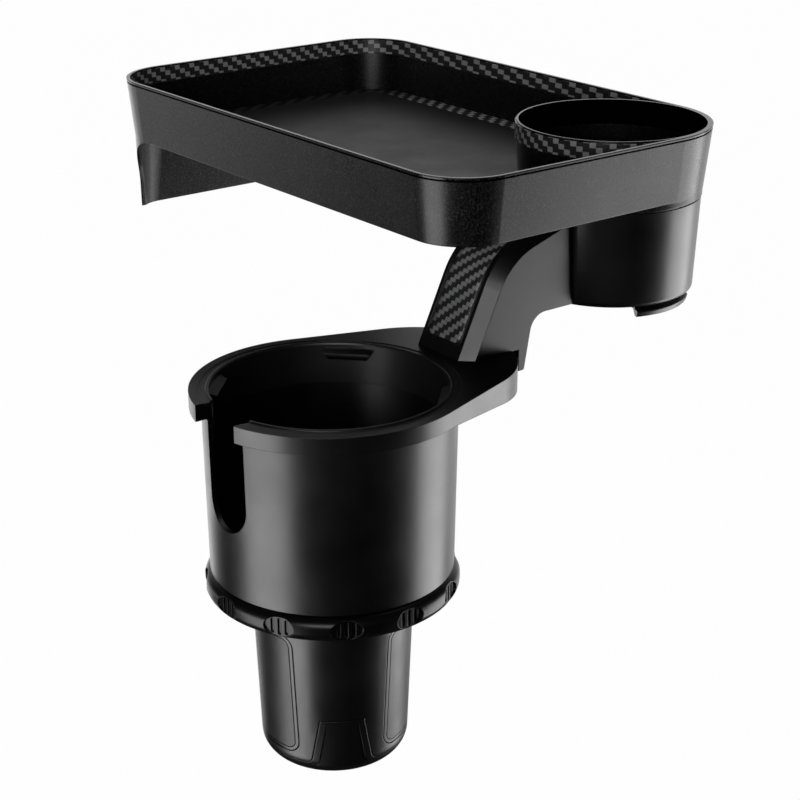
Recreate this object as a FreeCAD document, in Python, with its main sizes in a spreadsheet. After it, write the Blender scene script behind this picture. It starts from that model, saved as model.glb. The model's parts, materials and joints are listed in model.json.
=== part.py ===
import FreeCAD, Part
import Sketcher
import math
import os

# Car cup holder: a tapered plug that grips the car's own cup recess, a large cup on top of it, and an arm
# that carries a second cup socket with a turning tray.
# Millimetres. Origin: centre of the plug's flat bottom. +Z up, +X along the arm, the tray reaches to +Y.

doc = FreeCAD.newDocument("cup_holder")
sheet = doc.addObject("Spreadsheet::Sheet", "Sizes")
sub_parts = []


class Size:
    """A length or angle: its value and the spreadsheet formula that gives it."""

    def __init__(self, value, formula):
        self.value = float(value)
        self.formula = formula

    def __add__(self, other):
        other = as_size(other)
        return Size(self.value + other.value, "(%s + %s)" % (self.formula, other.formula))

    def __sub__(self, other):
        other = as_size(other)
        return Size(self.value - other.value, "(%s - %s)" % (self.formula, other.formula))

    def __mul__(self, other):
        other = as_size(other)
        return Size(self.value * other.value, "(%s * %s)" % (self.formula, other.formula))

    def __truediv__(self, other):
        other = as_size(other)
        return Size(self.value / other.value, "(%s / %s)" % (self.formula, other.formula))

    def __neg__(self):
        return Size(-self.value, "(0 - %s)" % self.formula)

    def __radd__(self, other):
        return as_size(other) + self

    def __rsub__(self, other):
        return as_size(other) - self

    def __rmul__(self, other):
        return as_size(other) * self

    def __rtruediv__(self, other):
        return as_size(other) / self


def as_size(value):
    return value if isinstance(value, Size) else Size(value, "%.6g" % value if value >= 0 else "(%.6g)" % value)


def size(alias, value, note):
    """One row of the spreadsheet."""
    row = size.rows = getattr(size, "rows", 0) + 1
    sheet.set("A%d" % row, alias)
    sheet.set("B%d" % row, str(value))
    sheet.setAlias("B%d" % row, alias)
    sheet.set("C%d" % row, note)
    return Size(value, "Sizes.%s" % alias)


def sine(angle):
    return Size(math.sin(math.radians(angle.value)), "sin(%s)" % angle.formula)


def cosine(angle):
    return Size(math.cos(math.radians(angle.value)), "cos(%s)" % angle.formula)


def tangent(angle):
    return Size(math.tan(math.radians(angle.value)), "tan(%s)" % angle.formula)


# Plug that sits in the car's recess
plug_bottom_radius = size("plug_bottom_radius", 31.66, "plug outside at its bottom, before rounding")
plug_slope = size("plug_slope", 0.04, "growth of the plug radius for each mm of height")
plug_wall = size("plug_wall", 2.4, "plug wall")
plug_edge_round = size("plug_edge_round", 10.0, "rounding of the bottom edge")
cap_height = size("cap_height", 7.5, "height of the joint between cap and housing")
cap_floor = size("cap_floor", 2.4, "floor of the bottom cap")
deck_top = size("deck_top", 77.6, "top of the deck that carries the ring")
deck_thickness = size("deck_thickness", 3.0, "deck thickness")
deck_radius = size("deck_radius", 44.0, "deck outside radius")
hub_radius = size("hub_radius", 12.0, "central hub")
hub_bore = size("hub_bore", 4.6, "hub bore for lightness")

# Bottom cap tongues, one between each two jaws
tongue_top = size("tongue_top", 29.0, "top of the cap's tongues")
tongue_half_top = size("tongue_half_top", 9.4, "half width of a tongue at its top")
tongue_half_bottom = size("tongue_half_bottom", 13.0, "half width of a tongue at its foot")
tongue_flare = size("tongue_flare", 3.0, "curve from a tongue into the cap's upper edge")
tongue_border = size("tongue_border", 2.9, "border of a tongue beside its shallow panel")
panel_depth = size("panel_depth", 0.8, "depth of the panel's section at its foot")
parting_gap = size("parting_gap", 0.35, "visible joint between two mouldings")
parting_depth = size("parting_depth", 0.9, "depth of the joint line between cap and housing")

# Gripping jaws
jaw_travel = size("jaw_travel", 5.0, "radial travel of each jaw")
jaw_bottom = size("jaw_bottom", 11.2, "lower edge of a jaw")
jaw_top = size("jaw_top", 67.7, "upper edge of a jaw")
jaw_half_top = size("jaw_half_top", 13.5, "half width of a jaw at its top")
jaw_half_bottom = size("jaw_half_bottom", 13.9, "half width of a jaw at its bottom")
jaw_corner = size("jaw_corner", 5.5, "corner radius of a jaw")
jaw_wall = size("jaw_wall", 3.2, "jaw wall")
jaw_gap = size("jaw_gap", 0.4, "gap between jaw and window")
neck_half = size("neck_half", 4.0, "half width of a jaw's neck")
neck_inner = size("neck_inner", 19.5, "inner end of a jaw's neck")
neck_outer = size("neck_outer", 26.5, "outer end of a jaw's neck")
guide_clearance = size("guide_clearance", 0.15, "clearance of a neck in its guide slot")
pin_distance = size("pin_distance", 24.0, "pin of a jaw from the axis, jaws in")
pin_radius = size("pin_radius", 2.4, "pin of a jaw")
grip_inset = size("grip_inset", 1.4, "border of a jaw around its rubber facing")
grip_depth = size("grip_depth", 1.2, "depth of the rubber facing")
facing_play = size("facing_play", 0.25, "gap round the rubber facing")

# Adjusting ring and its scroll disc
ring_bottom = size("ring_bottom", 77.9, "underside of the ring")
ring_top = size("ring_top", 89.0, "top of the ring")
ring_radius = size("ring_radius", 54.4, "ring outside radius")
ring_bore = size("ring_bore", 47.56, "ring bore")
ring_round = size("ring_round", 4.8, "rounding of the ring's outside")
grip_count = size("grip_count", 12, "finger grips on the ring")
grip_width = size("grip_width", 13.4, "width of a finger grip")
grip_height = size("grip_height", 8.6, "height of a finger grip")
grip_cut = size("grip_cut", 1.5, "depth of a finger grip")
groove_width = size("groove_width", 1.4, "groove in a finger grip")
groove_pitch = size("groove_pitch", 3.1, "spacing of the grooves")
groove_depth = size("groove_depth", 0.8, "depth of a groove below the grip")
scroll_thickness = size("scroll_thickness", 3.2, "scroll disc thickness")
scroll_turn = size("scroll_turn", 90.0, "turn of the ring for the full jaw travel, degrees")
scroll_clearance = size("scroll_clearance", 0.15, "clearance of a pin in its spiral slot")
running_fit = size("running_fit", 0.06, "radial clearance of a running fit")

# Large cup
cup_bottom = size("cup_bottom", 89.3, "shoulder of the cup above the ring")
cup_top = size("cup_top", 162.1, "top edge of the cup wall")
cup_bottom_radius = size("cup_bottom_radius", 51.9, "cup outside at the shoulder")
cup_top_radius = size("cup_top_radius", 53.1, "cup outside at the top")
cup_wall = size("cup_wall", 2.4, "cup wall")
cup_floor = size("cup_floor", 2.6, "cup floor")
spigot_bottom = size("spigot_bottom", 81.5, "lower end of the spigot that the ring turns on")
slot_half = size("slot_half", 12.6, "half width of the handle slot")
slot_bottom = size("slot_bottom", 117.7, "lowest point of the handle slot")
tongue_joint = size("tongue_joint", 3.0, "depth of the collar's tongue in the cup")

# Collar with its extension
collar_overhang = size("collar_overhang", 4.9, "reach of the collar beyond the cup's top")
collar_top = size("collar_top", 169.3, "top of the collar")
collar_slot_half = size("collar_slot_half", 13.9, "half width of the slot through the collar")
tip_distance = size("tip_distance", 45.0, "centre of the extension's round end")
tip_radius = size("tip_radius", 43.4, "radius of the extension's round end")
tip_thickness = size("tip_thickness", 13.0, "thickness of the extension at its end")
slope_start = size("slope_start", 22.0, "where the underside starts to slope")
extension_wall = size("extension_wall", 2.6, "walls of the hollow underside")
collar_radius = cup_top_radius + collar_overhang
collar_bore = cup_top_radius - cup_wall

# Liner
liner_wall = size("liner_wall", 1.2, "liner wall with its play in the bore")
liner_play = size("liner_play", 0.25, "play of the liner in the bore")
liner_bottom = size("liner_bottom", 151.1, "lower edge of the liner")
lip_reach = size("lip_reach", 3.3, "reach of the liner's lip beyond the bore")
lip_height = size("lip_height", 0.5, "bead of the lip above the collar")
lip_depth = size("lip_depth", 1.2, "lip let into the collar")
lip_sink = size("lip_sink", 0.25, "flat part of the lip below the collar's top")
bead_width = size("bead_width", 1.6, "width of the bead on the lip")
flap_top = size("flap_top", 167.1, "top of a holding flap")
flap_bottom = size("flap_bottom", 162.3, "bottom of a holding flap")
flap_half_top = size("flap_half_top", 10.9, "half width of a flap at its top")
flap_half_bottom = size("flap_half_bottom", 8.4, "half width of a flap at its bottom")
flap_reach = size("flap_reach", 4.2, "reach of a flap into the cup")
liner_radius = collar_bore - liner_wall
lip_radius = collar_bore + lip_reach
mat_thickness = size("mat_thickness", 1.4, "rubber mats in both cups")
mat_gap = size("mat_gap", 0.8, "gap between a mat and the wall")

# Arm
arm_half = size("arm_half", 18.5, "half width of the arm")
arm_offset = size("arm_offset", 1.9, "centre line of the arm beside the cup's axis")
arm_setback = size("arm_setback", 0.6, "front of the arm's foot behind the collar's radius")
arm_lean = size("arm_lean", 65.0, "lean of the arm's face, degrees")
arm_bend = size("arm_bend", 214.1, "height where the face bends, before rounding")
arm_bend_round = size("arm_bend_round", 36.0, "rounding of the bend")
arm_rise = size("arm_rise", 17.5, "rise of the arm's top towards the socket, degrees")
arm_foot = collar_radius + arm_setback
arm_under = size("arm_under", 183.7, "underside of the arm")
arm_wall = size("arm_wall", 2.6, "walls of the arm")
hook_gap = size("hook_gap", 0.3, "gap between the arm's hook and the collar")
hook_width = size("hook_width", 3.2, "thickness of the hook at its lower end")
hook_bottom = size("hook_bottom", 159.3, "lower end of the hook")
hook_back = size("hook_back", 96.4, "back of the arm below its underside")
hook_round = size("hook_round", 8.5, "rounding under the arm")
face_bevel = size("face_bevel", 5.0, "bevel beside the front face")
face_wall = size("face_wall", 7.5, "thickness behind the front face")
inlay_half = size("inlay_half", 10.5, "half width of the patterned inlay")
inlay_depth = size("inlay_depth", 1.2, "inlay thickness")
inlay_start = size("inlay_start", 6.0, "inlay above the foot, along the face")
inlay_end = size("inlay_end", 106.0, "far end of the inlay")
screw_radius = size("screw_radius", 1.6, "screw shank")
screw_head = size("screw_head", 3.0, "screw head radius")
screw_head_height = size("screw_head_height", 1.8, "screw head height")
arm_screw_x = size("arm_screw_x", 74.5, "arm screws from the cup axis")
arm_screw_y = size("arm_screw_y", 7.0, "arm screws from the centre line")
boss_radius = size("boss_radius", 4.2, "screw boss")
boss_height = size("boss_height", 14.0, "screw boss height")

# Second cup socket
socket_distance = size("socket_distance", 155.7, "socket axis from the cup axis")
socket_bottom = size("socket_bottom", 182.5, "underside of the socket")
socket_top = size("socket_top", 225.5, "top of the socket")
socket_bottom_radius = size("socket_bottom_radius", 38.9, "socket outside at its bottom")
socket_top_radius = size("socket_top_radius", 40.7, "socket outside at its top")
socket_wall = size("socket_wall", 2.2, "socket wall")
socket_floor = size("socket_floor", 2.4, "socket floor")
socket_edge_round = size("socket_edge_round", 2.2, "rounding of the socket's bottom edge")
pivot_radius = size("pivot_radius", 9.0, "pivot boss of the tray in the socket's floor")

# Tray
tray_top = size("tray_top", 257.7, "rim of the tray")
tray_height = size("tray_height", 28.9, "height of the tray's outer walls")
tray_near = size("tray_near", 28.6, "outside of the wall over the large cup, at the rim")
tray_length = size("tray_length", 227.6, "outside of the far wall from the socket axis, at the rim")
tray_corner_radius = size("tray_corner_radius", 44.1, "corner around the cup hole, at the rim")
front_corner = size("front_corner", 26.0, "corner nearest to the cups, at the rim")
left_corner = size("left_corner", 31.0, "far corner over the large cup, at the rim")
back_corner = size("back_corner", 27.0, "far corner on the socket's side, at the rim")
tray_draft = size("tray_draft", 5.8, "draft of the walls, degrees")
tray_wall = size("tray_wall", 1.6, "tray wall")
tray_floor = size("tray_floor", 1.5, "tray floor")
hole_radius = size("hole_radius", 40.1, "cup hole at the rim")
hole_wall = size("hole_wall", 2.4, "wall of the cup hole where it stands in the tray")
collar_drop = size("collar_drop", 4.4, "depth of the round collar under the tray")
sleeve_clearance = size("sleeve_clearance", 0.35, "clearance of the tray's sleeve in the socket")
sleeve_wall = size("sleeve_wall", 1.8, "wall of the sleeve")
sleeve_floor = size("sleeve_floor", 2.0, "floor of the sleeve")
skirt_bottom = size("skirt_bottom", 190.9, "lower edge of the skirt at the tray's far end")
skirt_start = size("skirt_start", 216.0, "side edge of the skirt, from the socket axis")
skirt_round = size("skirt_round", 26.0, "curve between the wall's lower edge and the skirt")
skirt_left_corner = size("skirt_left_corner", 16.0, "far left corner at the skirt's lower edge")
skirt_back_corner = size("skirt_back_corner", 14.0, "far back corner at the skirt's lower edge")
band_height = size("band_height", 7.0, "patterned band under the rim")
band_depth = size("band_depth", 0.6, "patterned band thickness")
band_edge = size("band_edge", 0.8, "bare rim above the band")
border_width = size("border_width", 10.0, "patterned border of the floor")
border_thickness = size("border_thickness", 0.7, "border thickness")
floor_mat_thickness = size("floor_mat_thickness", 1.0, "tray mat thickness")
floor_gap = size("floor_gap", 0.4, "gap between mat, border and walls")

# Hold-down under the socket
lock_gap = size("lock_gap", 0.2, "axial play of the hold-down plate")
lock_thickness = size("lock_thickness", 2.2, "hold-down plate thickness")
lock_radius = size("lock_radius", 24.0, "hold-down plate radius")
lip_outer = size("lip_outer", 37.6, "outside of the finger lip")
lip_drop = size("lip_drop", 4.8, "depth of the finger lip")
lip_start = size("lip_start", -112.0, "first end of the finger lip, degrees from +X")
lip_sweep = size("lip_sweep", 59.0, "sweep of the finger lip, degrees")


def origin_feature(body, role):
    return next(item for item in body.Origin.OriginFeatures if item.Role == role)


def new_body(name):
    """A sub-part: a body whose label names its file."""
    body = doc.addObject("PartDesign::Body", name)
    body.Label = name
    sub_parts.append(body)
    return body


def hold(sketch, geometry, vertex, corner, label):
    """Fixes one point of a sketch at (x, y) from the sketch's origin."""
    for kind, axis, value in (("DistanceX", -2, corner[0]), ("DistanceY", -1, corner[1])):
        if value.value == 0:
            sketch.addConstraint(Sketcher.Constraint("PointOnObject", geometry, vertex, axis))
            continue
        index = sketch.addConstraint(Sketcher.Constraint(kind, -1, 1, geometry, vertex, value.value))
        name = "%s_%s" % (label, kind[-1].lower())
        sketch.renameConstraint(index, name)
        sketch.setExpression("Constraints." + name, value.formula)


def draw_outline(sketch, corners, label="corner"):
    """Adds a closed outline of straight edges. Each corner is (x, y) or (x, y, rounding)."""
    corners = [tuple(as_size(value) for value in corner) for corner in corners]
    count = len(corners)
    points = [FreeCAD.Vector(corner[0].value, corner[1].value, 0) for corner in corners]
    rounding = [corner[2].value if len(corner) > 2 else 0 for corner in corners]
    setback = []
    for i in range(count):
        back = points[i - 1] - points[i]
        ahead = points[(i + 1) % count] - points[i]
        setback.append(rounding[i] / math.tan(back.getAngle(ahead) / 2) if rounding[i] else 0)
    lines = []
    for i in range(count):
        start, end = points[i], points[(i + 1) % count]
        along = (end - start).normalize()
        edge = Part.LineSegment(start + along * setback[i], end - along * setback[(i + 1) % count])
        lines.append(sketch.addGeometry(edge))
    for i in range(count):
        before, after = lines[i - 1], lines[i]
        if not rounding[i]:
            sketch.addConstraint(Sketcher.Constraint("Coincident", before, 2, after, 1))
            hold(sketch, after, 1, corners[i], "%s%d" % (label, i + 1))
            continue
        back = (points[i - 1] - points[i]).normalize()
        ahead = (points[(i + 1) % count] - points[i]).normalize()
        inward = (back + ahead).normalize()
        centre = points[i] + inward * (rounding[i] / math.sin(back.getAngle(ahead) / 2))
        left_turn = back.cross(ahead).z < 0
        ends = [points[i] + back * setback[i], points[i] + ahead * setback[i]]
        angles = [math.atan2(end.y - centre.y, end.x - centre.x) for end in ends]
        if not left_turn:
            angles.reverse()
        circle = Part.Circle(centre, FreeCAD.Vector(0, 0, 1), rounding[i])
        arc = sketch.addGeometry(Part.ArcOfCircle(circle, angles[0], angles[1]))
        sketch.addConstraint(Sketcher.Constraint("Tangent", before, 2, arc, 1 if left_turn else 2))
        sketch.addConstraint(Sketcher.Constraint("Tangent", after, 1, arc, 2 if left_turn else 1))
        corner_point = sketch.addGeometry(Part.Point(points[i]), True)
        sketch.addConstraint(Sketcher.Constraint("PointOnObject", corner_point, 1, before))
        sketch.addConstraint(Sketcher.Constraint("PointOnObject", corner_point, 1, after))
        hold(sketch, corner_point, 1, corners[i], "%s%d" % (label, i + 1))
        index = sketch.addConstraint(Sketcher.Constraint("Radius", arc, rounding[i]))
        name = "%s%d_round" % (label, i + 1)
        sketch.renameConstraint(index, name)
        sketch.setExpression("Constraints." + name, corners[i][2].formula)


def draw_circle(sketch, centre, radius, label="circle"):
    """Adds a full circle to a sketch."""
    centre = tuple(as_size(value) for value in centre)
    middle = FreeCAD.Vector(centre[0].value, centre[1].value, 0)
    circle = sketch.addGeometry(Part.Circle(middle, FreeCAD.Vector(0, 0, 1), radius.value))
    hold(sketch, circle, 3, centre, label)
    index = sketch.addConstraint(Sketcher.Constraint("Radius", circle, radius.value))
    sketch.renameConstraint(index, label + "_radius")
    sketch.setExpression("Constraints." + label + "_radius", radius.formula)


def new_sketch(body, name, plane, move=(0, 0, 0)):
    """An empty sketch on one of the body's own planes, moved in the plane's axes (x, y, normal)."""
    sketch = body.newObject("Sketcher::SketchObject", name)
    sketch.AttachmentSupport = [(origin_feature(body, plane), "")]
    sketch.MapMode = "FlatFace"
    for axis, value in zip("xyz", move):
        if as_size(value).value:
            sketch.setExpression("AttachmentOffset.Base." + axis, as_size(value).formula)
    return sketch


def section(body, name, corners, plane="XZ_Plane", move=(0, 0, 0)):
    sketch = new_sketch(body, name, plane, move)
    draw_outline(sketch, corners)
    return sketch


def finish_feature(body, feature, cut):
    """Makes a feature the body's last one, and sees that a cut really removed material."""
    before = body.Shape.Volume if cut else 0
    body.Tip = feature
    doc.recompute()
    if cut and not body.Shape.Volume < before - 1e-3:
        raise ValueError("%s of %s removes nothing" % (feature.Name, body.Label))
    return feature


def revolve(body, name, sketch, angle=None, cut=False):
    """Turns a section about the sketch's vertical axis; with an angle, half of it to each side."""
    kind = "PartDesign::Groove" if cut else "PartDesign::Revolution"
    feature = body.newObject(kind, name)
    feature.Profile = sketch
    feature.ReferenceAxis = (sketch, ["V_Axis"])
    if angle is None:
        feature.Angle = 360
    else:
        feature.Midplane = True
        feature.setExpression("Angle", as_size(angle).formula)
    return finish_feature(body, feature, cut)


def extrude(body, name, sketch, length, towards=1, symmetric=False, taper=None, cut=False):
    """Pads or pockets a sketch along its normal (towards=1) or against it (towards=-1)."""
    feature = body.newObject("PartDesign::Pocket" if cut else "PartDesign::Pad", name)
    feature.Profile = sketch
    feature.Type = 0
    feature.setExpression("Length", as_size(length).formula)
    if symmetric:
        feature.SideType = "Symmetric"
    else:
        feature.Reversed = (towards > 0) if cut else (towards < 0)
    if taper is not None:
        feature.setExpression("TaperAngle", taper.formula)
    return finish_feature(body, feature, cut)


def repeat_round(body, name, originals, count):
    """Repeats features evenly about the body's vertical axis."""
    pattern = body.newObject("PartDesign::PolarPattern", name)
    pattern.Originals = originals
    pattern.Axis = (origin_feature(body, "Z_Axis"), [""])
    pattern.Angle = 360
    pattern.setExpression("Occurrences", as_size(count).formula)
    body.Tip = pattern
    doc.recompute()
    return pattern


def dress(body, name, kind, radius, wanted):
    """Rounds or bevels the edges of the body that `wanted` picks."""
    edges = ["Edge%d" % (i + 1) for i, edge in enumerate(body.Shape.Edges) if wanted(edge)]
    if not edges:
        raise ValueError("no edge for %s of %s" % (name, body.Label))
    base = body.Tip
    feature = body.newObject("PartDesign::" + kind, name)
    feature.Base = (base, edges)
    feature.setExpression("Radius" if kind == "Fillet" else "Size", radius.formula)
    body.Tip = feature
    doc.recompute()
    return feature


def turn(body, degrees):
    """Sets a finished body round the vertical axis."""
    body.Placement = FreeCAD.Placement(FreeCAD.Vector(), FreeCAD.Rotation(FreeCAD.Vector(0, 0, 1), degrees))


def plug_radius(height):
    """Outside radius of the tapered plug at a height."""
    return plug_bottom_radius + plug_slope * height


def box(x0, y0, x1, y1):
    """Corners of a rectangle."""
    return [(x0, y0), (x1, y0), (x1, y1), (x0, y1)]


def mirrored(half):
    """A closed outline from its right half, listed from bottom to top."""
    return half + [(-as_size(corner[0]),) + tuple(corner[1:]) for corner in reversed(half)]


def shell_strip(bottom, top, depth_out, depth_in):
    """Section of a tapered wall between two heights, measured inwards from the plug's outside."""
    return [
        (plug_radius(bottom) - depth_in, bottom),
        (plug_radius(bottom) - depth_out, bottom),
        (plug_radius(top) - depth_out, top),
        (plug_radius(top) - depth_in, top),
    ]


# Bottom cap of the plug, with tongues that rise between the jaws
deck_bottom = deck_top - deck_thickness
column_distance = size("column_distance", 18.3, "screw columns from the plug's axis")
column_radius = size("column_radius", 3.4, "screw column")
edge_break = size("edge_break", 0.5, "bevel beside a visible joint")


def tongue_half(height, margin=0):
    """Half width of a cap tongue at a height."""
    slope = (tongue_half_top - tongue_half_bottom) / (tongue_top - cap_height)
    return tongue_half_bottom + slope * (height - cap_height) + margin


def plug_shell(body, top):
    """The whole tapered bowl of the plug, from its flat bottom to a height."""
    revolve(body, "Bowl", section(body, "BowlSection", [
        (0, 0),
        (plug_radius(0), 0, plug_edge_round),
        (plug_radius(top), top),
        (plug_radius(top) - plug_wall, top),
        (plug_radius(cap_floor) - plug_wall, cap_floor, plug_edge_round - plug_wall),
        (0, cap_floor),
    ]))


cap = new_body("base_cap")
plug_shell(cap, tongue_top)
between = new_sketch(cap, "BetweenTongues", "YZ_Plane")
for side, label in ((1, "left"), (-1, "right")):
    draw_outline(between, [
        (side * tongue_half(cap_height), cap_height, tongue_flare),
        (side * (plug_radius(tongue_top) + 1), cap_height),
        (side * (plug_radius(tongue_top) + 1), tongue_top + 1),
        (side * tongue_half(tongue_top + 1), tongue_top + 1),
    ], label)
between_cut = extrude(cap, "BetweenTonguesCut", between, plug_radius(tongue_top) + 1, towards=1, cut=True)
repeat_round(cap, "Tongues", [between_cut], 3)
screw_hole = new_sketch(cap, "ScrewHole", "XY_Plane")
draw_circle(screw_hole, (column_distance, 0), screw_radius + running_fit)
hole_cut = extrude(cap, "ScrewHoleCut", screw_hole, cap_floor, towards=1, cut=True)
head_seat = new_sketch(cap, "HeadSeat", "XY_Plane")
draw_circle(head_seat, (column_distance, 0), screw_head + guide_clearance)
head_cut = extrude(cap, "HeadSeatCut", head_seat, screw_head_height, towards=1, cut=True)
repeat_round(cap, "ScrewHoles", [hole_cut, head_cut], 3)
panel_foot = cap_height - tongue_border
panel_cutter = doc.addObject("PartDesign::Body", "TonguePanel")
panel_ring = revolve(panel_cutter, "Strip", section(panel_cutter, "StripSection", [
    (plug_radius(panel_foot) - panel_depth, panel_foot - 1),
    (plug_radius(panel_foot) + 2, panel_foot - 1),
    (plug_radius(tongue_top) + 2, tongue_top),
    (plug_radius(tongue_top), tongue_top),
]), angle=76)
panel_around = new_sketch(panel_cutter, "Around", "YZ_Plane")
draw_outline(panel_around, box(-plug_radius(deck_top), -1, plug_radius(deck_top), tongue_top + 2), "frame")
draw_outline(panel_around, mirrored([
    (tongue_half(cap_height) + 2 * tongue_flare, panel_foot - 2),
    (tongue_half(cap_height) + 2 * tongue_flare, panel_foot),
    (tongue_half(panel_foot) - tongue_border, panel_foot, tongue_flare + tongue_border),
    (tongue_half(tongue_top) - tongue_border, tongue_top + 1),
]), "edge")
panel_trim = extrude(panel_cutter, "Trim", panel_around, plug_radius(deck_top) + 3, towards=1, cut=True)
repeat_round(panel_cutter, "Panels", [panel_ring, panel_trim], 3)
panels = cap.newObject("PartDesign::Boolean", "TonguePanels")
panels.Type = "Cut"
panels.addObjects([panel_cutter])
cap.Tip = panels
doc.recompute()


# Plug housing: tapered shell, deck under the ring, hub, screw columns
housing = new_body("base_housing")
plug_shell(housing, deck_top - edge_break)
revolve(housing, "CapSpace", section(housing, "CapSpaceSection", box(
    0, -1, plug_radius(cap_height) + 1, cap_height)), cut=True)
revolve(housing, "JointLine", section(housing, "JointLineSection", box(
    plug_radius(0) - parting_depth, cap_height - 1, plug_radius(cap_height) + 1, cap_height + parting_gap)), cut=True)
revolve(housing, "Deck", section(housing, "DeckSection", [
    (hub_bore, deck_bottom),
    (deck_radius, deck_bottom, edge_break),
    (deck_radius, deck_top),
    (hub_radius, deck_top),
    (hub_radius, cup_bottom),
    (hub_bore, cup_bottom),
]))
notch_sides = section(housing, "TongueNotch", mirrored([
    (tongue_half(cap_height) + 2 * tongue_flare, cap_height - 1),
    (tongue_half(cap_height) + 2 * tongue_flare, cap_height + parting_gap),
    (tongue_half(cap_height, parting_gap), cap_height + parting_gap, tongue_flare - parting_gap),
    (tongue_half(tongue_top, parting_gap), tongue_top + parting_gap),
]), "YZ_Plane")
notch = extrude(housing, "TongueNotchCut", notch_sides, plug_radius(deck_top), towards=1, cut=True)
repeat_round(housing, "TongueNotches", [notch], 3)


def jaw_outline(margin, rounding):
    """Outline of a jaw seen from outside, grown by a margin."""
    slope = (jaw_half_top - jaw_half_bottom) / (jaw_top - jaw_bottom)
    return mirrored([
        (jaw_half_bottom + margin - slope * margin, jaw_bottom - margin, rounding),
        (jaw_half_top + margin + slope * margin, jaw_top + margin, rounding),
    ])


window_sketch = section(housing, "JawWindow", jaw_outline(jaw_gap, jaw_corner + jaw_gap), "YZ_Plane")
window = extrude(housing, "JawWindowCut", window_sketch, plug_radius(deck_top) + 1, towards=-1, cut=True)
repeat_round(housing, "JawWindows", [window], 3)
column_sketch = new_sketch(housing, "Column", "XY_Plane", (0, 0, cap_floor))
draw_circle(column_sketch, (column_distance, 0), column_radius)
column = extrude(housing, "ColumnPad", column_sketch, deck_bottom - cap_floor)
repeat_round(housing, "Columns", [column], 3)
pilot_sketch = new_sketch(housing, "Pilot", "XY_Plane", (0, 0, cap_floor))
draw_circle(pilot_sketch, (column_distance, 0), screw_radius)
pilot = extrude(housing, "PilotCut", pilot_sketch, boss_height, towards=1, cut=True)
repeat_round(housing, "Pilots", [pilot], 3)
guide_sketch = section(housing, "GuideSlot", box(
    -neck_outer - jaw_travel - guide_clearance,
    -neck_half - guide_clearance,
    -neck_inner + guide_clearance,
    neck_half + guide_clearance,
), "XY_Plane", (0, 0, deck_top))
guide = extrude(housing, "GuideSlotCut", guide_sketch, deck_thickness, towards=-1, cut=True)
repeat_round(housing, "GuideSlots", [guide], 3)
hub_pilot_distance = (hub_radius + hub_bore) / 2
hub_pilot_sketch = new_sketch(housing, "HubPilot", "XY_Plane", (0, 0, cup_bottom))
draw_circle(hub_pilot_sketch, (hub_pilot_distance, 0), screw_radius)
hub_pilot = extrude(housing, "HubPilotCut", hub_pilot_sketch, boss_height, towards=-1, cut=True)
repeat_round(housing, "HubPilots", [hub_pilot], 3)


def curved_panel(body, name, bottom, top, outline, depth_out, depth_in):
    """A piece of the plug's tapered wall, facing +X, with the given outline."""
    strip = section(body, name + "Section", shell_strip(bottom, top, depth_out, depth_in))
    revolve(body, name, strip, angle=76)
    around = new_sketch(body, name + "Around", "YZ_Plane")
    reach = plug_radius(deck_top)
    draw_outline(around, box(-reach, bottom - 1, reach, top + 1), "frame")
    draw_outline(around, outline, "edge")
    extrude(body, name + "Trim", around, reach + 2, towards=1, cut=True)


# Three jaws that slide outwards, each with a rubber facing
jaw_names = ("left", "front", "right")
jaw_angles = (180, -60, 60)
seat_outline = jaw_outline(-grip_inset, jaw_corner - grip_inset)
facing_outline = jaw_outline(-grip_inset - facing_play, jaw_corner - grip_inset - facing_play)
for jaw_name, jaw_angle in zip(jaw_names, jaw_angles):
    jaw = new_body("jaw_" + jaw_name)
    curved_panel(jaw, "Wall", jaw_bottom, jaw_top, jaw_outline(0, jaw_corner), 0, jaw_wall)
    neck_sketch = section(jaw, "NeckSection", [
        (neck_inner, jaw_top - 7),
        (plug_radius(jaw_top) - jaw_wall / 2 - 0.5, jaw_top - 7),
        (plug_radius(jaw_top) - jaw_wall / 2 - 0.5, jaw_top),
        (neck_outer, jaw_top),
        (neck_outer, deck_top),
        (neck_inner, deck_top),
    ])
    extrude(jaw, "Neck", neck_sketch, 2 * neck_half, symmetric=True)
    pin_sketch = new_sketch(jaw, "Pin", "XY_Plane", (0, 0, deck_top))
    draw_circle(pin_sketch, (pin_distance, 0), pin_radius)
    extrude(jaw, "PinPad", pin_sketch, ring_bottom + scroll_thickness - deck_top - 0.2)
    cutter = doc.addObject("PartDesign::Body", "FacingSeat_" + jaw_name)
    curved_panel(cutter, "Seat", jaw_bottom, jaw_top, seat_outline, 0, grip_depth)
    seat = jaw.newObject("PartDesign::Boolean", "FacingSeat")
    seat.Type = "Cut"
    seat.addObjects([cutter])
    jaw.Tip = seat
    doc.recompute()
    turn(jaw, jaw_angle)
    facing = new_body("jaw_facing_" + jaw_name)
    curved_panel(facing, "Facing", jaw_bottom, jaw_top, facing_outline, 0, grip_depth)
    turn(facing, jaw_angle)


# Scroll disc: three spiral slots push the jaw pins outwards as the ring turns
scroll_top = ring_bottom + scroll_thickness
scroll = new_body("scroll_disc")
revolve(scroll, "Disc", section(scroll, "DiscSection", box(
    hub_radius + running_fit, ring_bottom, ring_bore - running_fit, scroll_top)))
lug_reach = size("lug_reach", 2.6, "reach of a drive lug into the ring")
lug_half = size("lug_half", 3.0, "half width of a drive lug")
lug_sketch = section(
    scroll, "Lug", box(ring_bore - 2, -lug_half + running_fit, ring_bore + lug_reach - running_fit,
                       lug_half - running_fit), "XY_Plane", (0, 0, ring_bottom)
)
lug = extrude(scroll, "LugPad", lug_sketch, scroll_thickness)
repeat_round(scroll, "Lugs", [lug], 3)


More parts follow.
